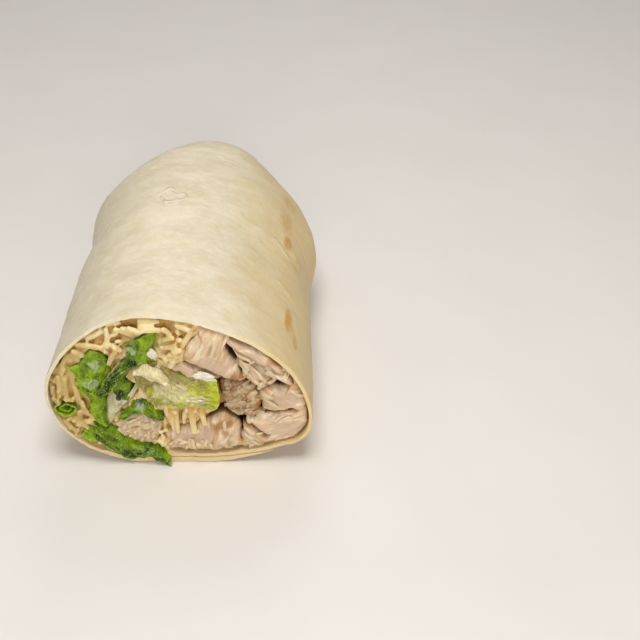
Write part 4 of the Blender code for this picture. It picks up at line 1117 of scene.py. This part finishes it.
class Heap:
    """The strips laid over the core, and the height over it that they have reached on a grid."""

    def __init__(self, seen, depths):
        columns, rows = np.meshgrid(*(np.arange(count) for count in seen.shape), indexing="ij")
        flat = np.stack([columns, rows], -1) * CELL + CELL / 2 + HEAP_LOW
        at = placed(flat, 0)
        self.height = 0.4 + 0.7 * ruffle(at, 2.2, 12)
        uneven = 0.8 * ruffle(at, 7, 13)
        leaf = np.array([[name.endswith(("leaf", "crest")) for name in column] for column in seen])
        heart = np.array((0, HEART_Z))
        clear = (depths > CORE_DEPTH) & within(flat, heart + (WALL - heart) * WALL_SLACK)
        self.limit = np.full(seen.shape, -9.0)
        self.limit[clear] = CORE_DEPTH + 0.3 + uneven[clear]
        self.limit[leaf] = CORE_DEPTH - np.maximum(depths[leaf], 0) - LEAF_ROOM
        self.limit[leaf & (depths > TURN_DEPTH)] = CORE_DEPTH - 0.6
        rim = (seen == "tortilla_roll") & (depths < CORE_DEPTH)
        rim &= within(flat, heart + (WALL - heart) * RIM_SLACK)
        self.limit[rim] = CORE_DEPTH - 0.5
        beside = clear & ((flat[..., 0] < BESIDE[0]) | (flat[..., 1] > BESIDE[1]))
        for _ in range(3):
            beside = beside | np.roll(beside, 1, 0) | np.roll(beside, -1, 0) | np.roll(beside, 1, 1)
        meat = np.array([[name.endswith("meat") for name in column] for column in seen]) & beside
        self.height[meat] = CORE_DEPTH - depths[meat]
        self.limit[meat] = CORE_DEPTH - np.minimum(depths[meat], 1.0) + 0.6
        self.limit[np.linalg.norm(flat - CURL_CENTRE, axis=-1) < CURL_RADIUS - 0.2] = -9
        self.limit[flat[..., 0] > LAST_X] = -9
        self.free = (self.limit > -9) & ~rim
        self.open = np.argwhere(self.free)
        self.front = depths
        self.batch = Batch()

    def cells(self, places):
        at = ((places - HEAP_LOW) / CELL).astype(int)
        return tuple(np.clip(at[..., k], 0, self.height.shape[k] - 1) for k in (0, 1))

    def lay(self, line, size, lean, slack=0.0, kept=False):
        """Lays a strip over a line of (x, z) points, where it comes to rest, if there is room for it. One
        that is kept has nothing laid over it."""
        way = np.gradient(line, axis=0)
        left = np.stack([-way[:, 1], way[:, 0]], 1) / np.linalg.norm(way, axis=1, keepdims=True)
        lanes = np.linspace(-0.42, 0.42, 5) * size[0]
        cells = self.cells(line + left * lanes[:, None, None])
        under = self.height[cells].max(0)
        run = np.linspace(-1, 1, len(line))
        tilt = min(np.linspace(-1.8, 1.8, 9), key=lambda tilt: (under - tilt * run).max())
        top = (under - tilt * run).max() + tilt * run + size[1] - SUNK
        if (top > self.limit[cells].min(0) + slack).any():
            return False
        self.height[cells] = np.maximum(self.height[cells], top)
        if kept:
            self.limit[cells] = top + 0 * self.limit[cells]
        y = CUT_Y + CORE_DEPTH - top + size[1] / 2
        self.add(placed(line, y)[::3], placed(left, lean)[::3], size)
        return True

    def plug_holes(self, deepest, room):
        """Fills the holes that are deeper than is wanted with lumps, to room below the heap's top."""
        for cell in random.sample(self.open.tolist(), len(self.open)) * 2:
            low, top = self.height[*cell], self.limit[*cell] - room - random.uniform(0, 1.3)
            if self.limit[*cell] - low < deepest or top < low + 0.3:
                continue
            place = HEAP_LOW + (np.array(cell) + 0.5) * CELL
            heading, length = random.uniform(0, math.pi), random.uniform(1, 3.4)
            half = towards(heading) * length / 2
            line = bowed(place - half, place + half, 0, 4)
            cells = self.cells(line)
            if not self.free[cells].all() or top > self.limit[cells].min():
                continue
            self.height[cells] = np.maximum(self.height[cells], top)
            middle = placed(line, CUT_Y + CORE_DEPTH - (top + low - 0.5) / 2)
            size = (random.uniform(0.9, 1.4), top - low + 0.5)
            self.add(middle, (-half[1], 0, half[0]), size)

    def hang(self, start, end):
        """Hangs a strip from behind what shows at its start, in front of what shows at its end."""
        behind, before = (self.front[self.cells(np.array(place))] for place in (start, end))
        line = bowed(start, end, random.uniform(-0.5, 0.5), HUNG_STEPS)
        y = CUT_Y + behind + 1.3 + (before - behind - 1.8) * np.linspace(0, 1, HUNG_STEPS) ** 0.7
        across = (1, random.uniform(-0.6, 0.6), 0.1)
        size = (SHRED_SIZE[0] * random.uniform(0.7, 1.3), SHRED_SIZE[1] * random.uniform(0.8, 1.2))
        # painted shade: each hanging strip is golden at its top, under the pale leaf, and pale towards its
        # free end
        shade_under_leaf = np.repeat(np.linspace(1.9, 0.1, HUNG_STEPS), BAR_SIDES)
        self.add(placed(line, y), across, size, tone=shade_under_leaf)

    def add(self, line, across, size, taper=0.15, tone=None):
        points, faces = bar(line, across, size, taper)
        points += 0.2 * shifts(points, 1.4)
        self.batch.add(points, faces, tone=random.random() if tone is None else tone)

    def skin(self):
        """One soft skin round all the strips, which stick to each other, with their tone and painted shade
        at its points.
        """
        strips = bpy.data.meshes.new("strips")
        strips.from_pydata(np.concatenate(self.batch.points).tolist(), [], self.batch.faces)
        body = bpy.data.objects.new("strips", strips)
        bpy.context.scene.collection.objects.link(body)
        stuck = body.modifiers.new("stuck", "REMESH")
        stuck.mode, stuck.voxel_size = "VOXEL", STUCK
        soft = body.modifiers.new("soft", "SMOOTH")
        soft.factor, soft.iterations = 0.5, 2
        lighter = body.modifiers.new("lighter", "DECIMATE")
        lighter.ratio = 0.58
        made = body.evaluated_get(bpy.context.evaluated_depsgraph_get()).to_mesh()
        points = np.array([vert.co for vert in made.vertices])
        faces = [tuple(face.vertices) for face in made.polygons]
        nearest = BVHTree.FromPolygons([vert.co for vert in strips.vertices], self.batch.faces)
        tones = np.concatenate(self.batch.values["tone"])
        tone = [tones[self.batch.faces[nearest.find_nearest(point)[2]][0]] for point in points]
        bpy.data.objects.remove(body)
        return points, faces, {"tone": np.array(tone), "sunken": self.sunken(points)}

    def sunken(self, points):
        """How far points of the skin lie behind the level of what shows round them, which paints shade into
        the crevices.
        """
        depths = points[:, 1] - CUT_Y
        cells = self.cells(points[:, ::2])
        front = np.full(self.height.shape, 99.0)
        np.minimum.at(front, cells, depths)
        known = front < 99
        level, count = front * known, known * 1.0
        for axis in (0, 1):
            level, count = (sum(np.roll(grid, by, axis) for by in range(-3, 4)) for grid in (level, count))
        return depths - (level / np.maximum(count, 1))[cells]


def shred_steps(length):
    """Points along a strip: three for each ring of its mesh."""
    return 3 * max(2, round(length / SHRED_STEP)) + 1


random.seed(CHEESE_SEED)
heap = Heap(*seen_from_the_front())
heap.limit -= BED_ROOM
for turn in range(SHRED_TRIES):
    if turn == SHRED_BED:
        heap.plug_holes(deepest=1.8, room=0.5)
        heap.limit += BED_ROOM
        for start, end, bow in LAID_SHREDS:
            line = bowed(start, end, bow, shred_steps(math.dist(start, end)))
            heap.lay(line, SHRED_SIZE, random.uniform(-0.2, 0.2), slack=3.0, kept=True)
    place = HEAP_LOW + (heap.open[random.randrange(len(heap.open))] + 0.5) * CELL
    heading = random.uniform(0, math.pi)
    for centre, reach, combed, share in COMBED:
        if math.dist(place, centre) < reach and random.random() < share:
            heading = math.radians(combed + random.uniform(-16, 16))
    shortest, longest = SHRED_LENGTHS
    length = longest + (shortest - longest) * min(turn / SHRED_TRIES * random.uniform(0.4, 1.2), 1)
    half = towards(heading) * length / 2
    line = bowed(place - half, place + half, length * random.uniform(-0.16, 0.16), shred_steps(length))
    size = (SHRED_SIZE[0] * random.uniform(0.8, 1.2), SHRED_SIZE[1] * random.uniform(0.85, 1.15))
    heap.lay(line, size, random.uniform(-0.3, 0.3))
for start, end in HUNG_SHREDS:
    heap.hang(start, end)
for count, centre, reach in CRUMBS:
    for _ in range(count):
        place = np.array([random.gauss(0, 0.45) * size for size in reach]) + centre
        half = towards(random.uniform(0, math.pi)) * random.uniform(0.5, 1.1)
        heap.lay(bowed(place - half, place + half, 0, 7), (1.3, 1.1), random.uniform(-0.6, 0.6), slack=0.9)

heap.plug_holes(deepest=2.8, room=1.6)

cheese = Finish("hard_cheese", specular=0.3, soft=0.5, reach=(1.6, 1.2, 0.5))
tone = cheese.attribute("tone")
grated = cheese.marks(0.5, 2, 3.0)
mottled = cheese.marks(2.2, 1, 3.0)
sideways = cheese.along(0) + 8 * (mottled - 0.5)
cheese.set(
    colour=cheese.painted(
        (234, 214, 164),
        (tone, (216, 190, 130)),
        (cheese.fade(mottled, 0.45, 0.75) * 0.5, (240, 224, 182)),
        # painted shade at the tops of the strips that hang under the pale leaf
        (cheese.fade(tone, 0.9, 1.9) * 0.8, (200, 154, 74)),
        # painted shade: more golden further behind the cut
        (cheese.fade(cheese.along(1) - CUT_Y, 0.8, 3.0) * 0.5, (198, 148, 64)),
        # painted shade in the crevices between the strips
        (cheese.fade(cheese.attribute("sunken"), 0.1, 1.3) * 0.8, (186, 140, 58)),
        (cheese.fade(sideways, -22, -31) * 0.6, (180, 150, 76)),
    ),
    roughness=0.32 + 0.25 * grated,
    height=0.08 * grated + 0.14 * mottled,
)
points, faces, carried = heap.skin()
add_piece("cheese_shreds", points, faces, cheese, "cheese", ["cheese"], **carried)
points, faces = cut_back("cheese", CORE_DEPTH)
plain = np.ones(len(points))
# painted shade: the core behind the strips is painted as deep in shadow
add_piece("cheese_core", points, faces, cheese, "cheese", ["cheese"], tone=0.8 * plain, sunken=plain)


# Dressing.
# Thick, glossy white dressing in a dollop, a dab and a smear on the filling.

# Each: name, the node it stands for, centre, half width and height, half thickness, how far it leans.
DRESSING = (
    ("dressing_dollop_blob", "dressing_dollop", (8.3, -0.5, 33.8), (3.0, 1.15), 0.6, -0.25),
    ("dressing_dab_blob", "dressing_dab", (-6.4, -0.6, 42.0), (1.2, 1.9), 0.5, 0.5),
    ("dressing_smear", None, (5.4, -0.35, 24.3), (1.6, 0.6), 0.25, 0.15),
)
white = Finish("caesar_dressing", soft=0.3, reach=(1.5, 1.3, 1.0), film=0.1)
creamy = white.marks(1.2, 1, 3.0)
white.set(
    colour=white.painted((232, 224, 206), (creamy, (216, 202, 172))),
    roughness=0.2 + 0.2 * creamy,
    coat=0.3 + 0.4 * creamy,
    height=0.15 * creamy,
)
for seed, (name, node, centre, (wide, high), thick, lean) in enumerate(DRESSING, 1):
    points, faces = ball(4, 1)
    uneven = 0.7 * ruffle(points, 0.8, seed) + 0.4 * ruffle(points, 0.35, seed + 5)
    points = points * (1 + uneven)[:, None]
    x, y, z = (points * (wide, thick, high)).T
    x, z = x * math.cos(lean) - z * math.sin(lean), z * math.cos(lean) + x * math.sin(lean)
    points = np.stack([x, y, z], 1) + (centre[0], CUT_Y + centre[1], centre[2])
    add_piece(name, points, faces, white, "dressing", [node] if node else [])


# Floor, lights and camera.
# A pale matt table under a large soft light, seen from in front and above as in the photograph.

CAMERA_PLACE = (0.0421, CUT_Y * MM - 0.2764, 0.2517)  # metres
CAMERA_TILT = 35.6  # degrees below the horizon
LENS, SENSOR = 67.5, 36  # millimetres

table = Finish("pale_table")
table_marks = table.marks(40, 1, 3.0)
table.set(
    colour=table.painted((236, 231, 225), (table_marks, (228, 222, 215))),
    roughness=0.5 + 0.15 * table_marks,
    height=0.02 * table.marks(1.2, 2),
)
bpy.ops.mesh.primitive_plane_add(size=4)
floor = bpy.context.object
floor.name = "floor"
floor.data.materials.append(table.material)

# Area lights in metres and watts: name, place, size, power, colour.
LIGHTS = (
    ("soft_key", (0.02, -0.18, 0.64), 0.30, 2.6, (1.0, 0.99, 0.975)),
    ("soft_back", (0.02, 0.50, 0.55), 0.40, 0.9, (1.0, 0.99, 0.98)),
    ("soft_front", (0.08, -0.70, 0.26), 0.34, 2.2, (1.0, 0.99, 0.97)),
)
for name, place, size, power, tint in LIGHTS:
    lamp = bpy.data.lights.new(name, "AREA")
    lamp.size, lamp.energy, lamp.color = size, power, tint
    light = bpy.data.objects.new(name, lamp)
    light.location = place
    aim = -light.location
    aim.z += HEART_Z * MM
    light.rotation_euler = aim.to_track_quat("-Z", "Y").to_euler()
    bpy.context.scene.collection.objects.link(light)

world = bpy.data.worlds.new("soft_room")
world.use_nodes = True
world.node_tree.nodes["Background"].inputs["Color"].default_value = (1.0, 0.99, 0.975, 1)
world.node_tree.nodes["Background"].inputs["Strength"].default_value = 0.22
bpy.context.scene.world = world

lens = bpy.data.cameras.new("camera")
lens.lens, lens.sensor_width = LENS, SENSOR
camera = bpy.data.objects.new("camera", lens)
camera.location = CAMERA_PLACE
camera.rotation_euler = (math.radians(90 - CAMERA_TILT), 0, 0)
bpy.context.scene.collection.objects.link(camera)
bpy.context.scene.camera = camera
bpy.context.scene.view_settings.view_transform = "Standard"
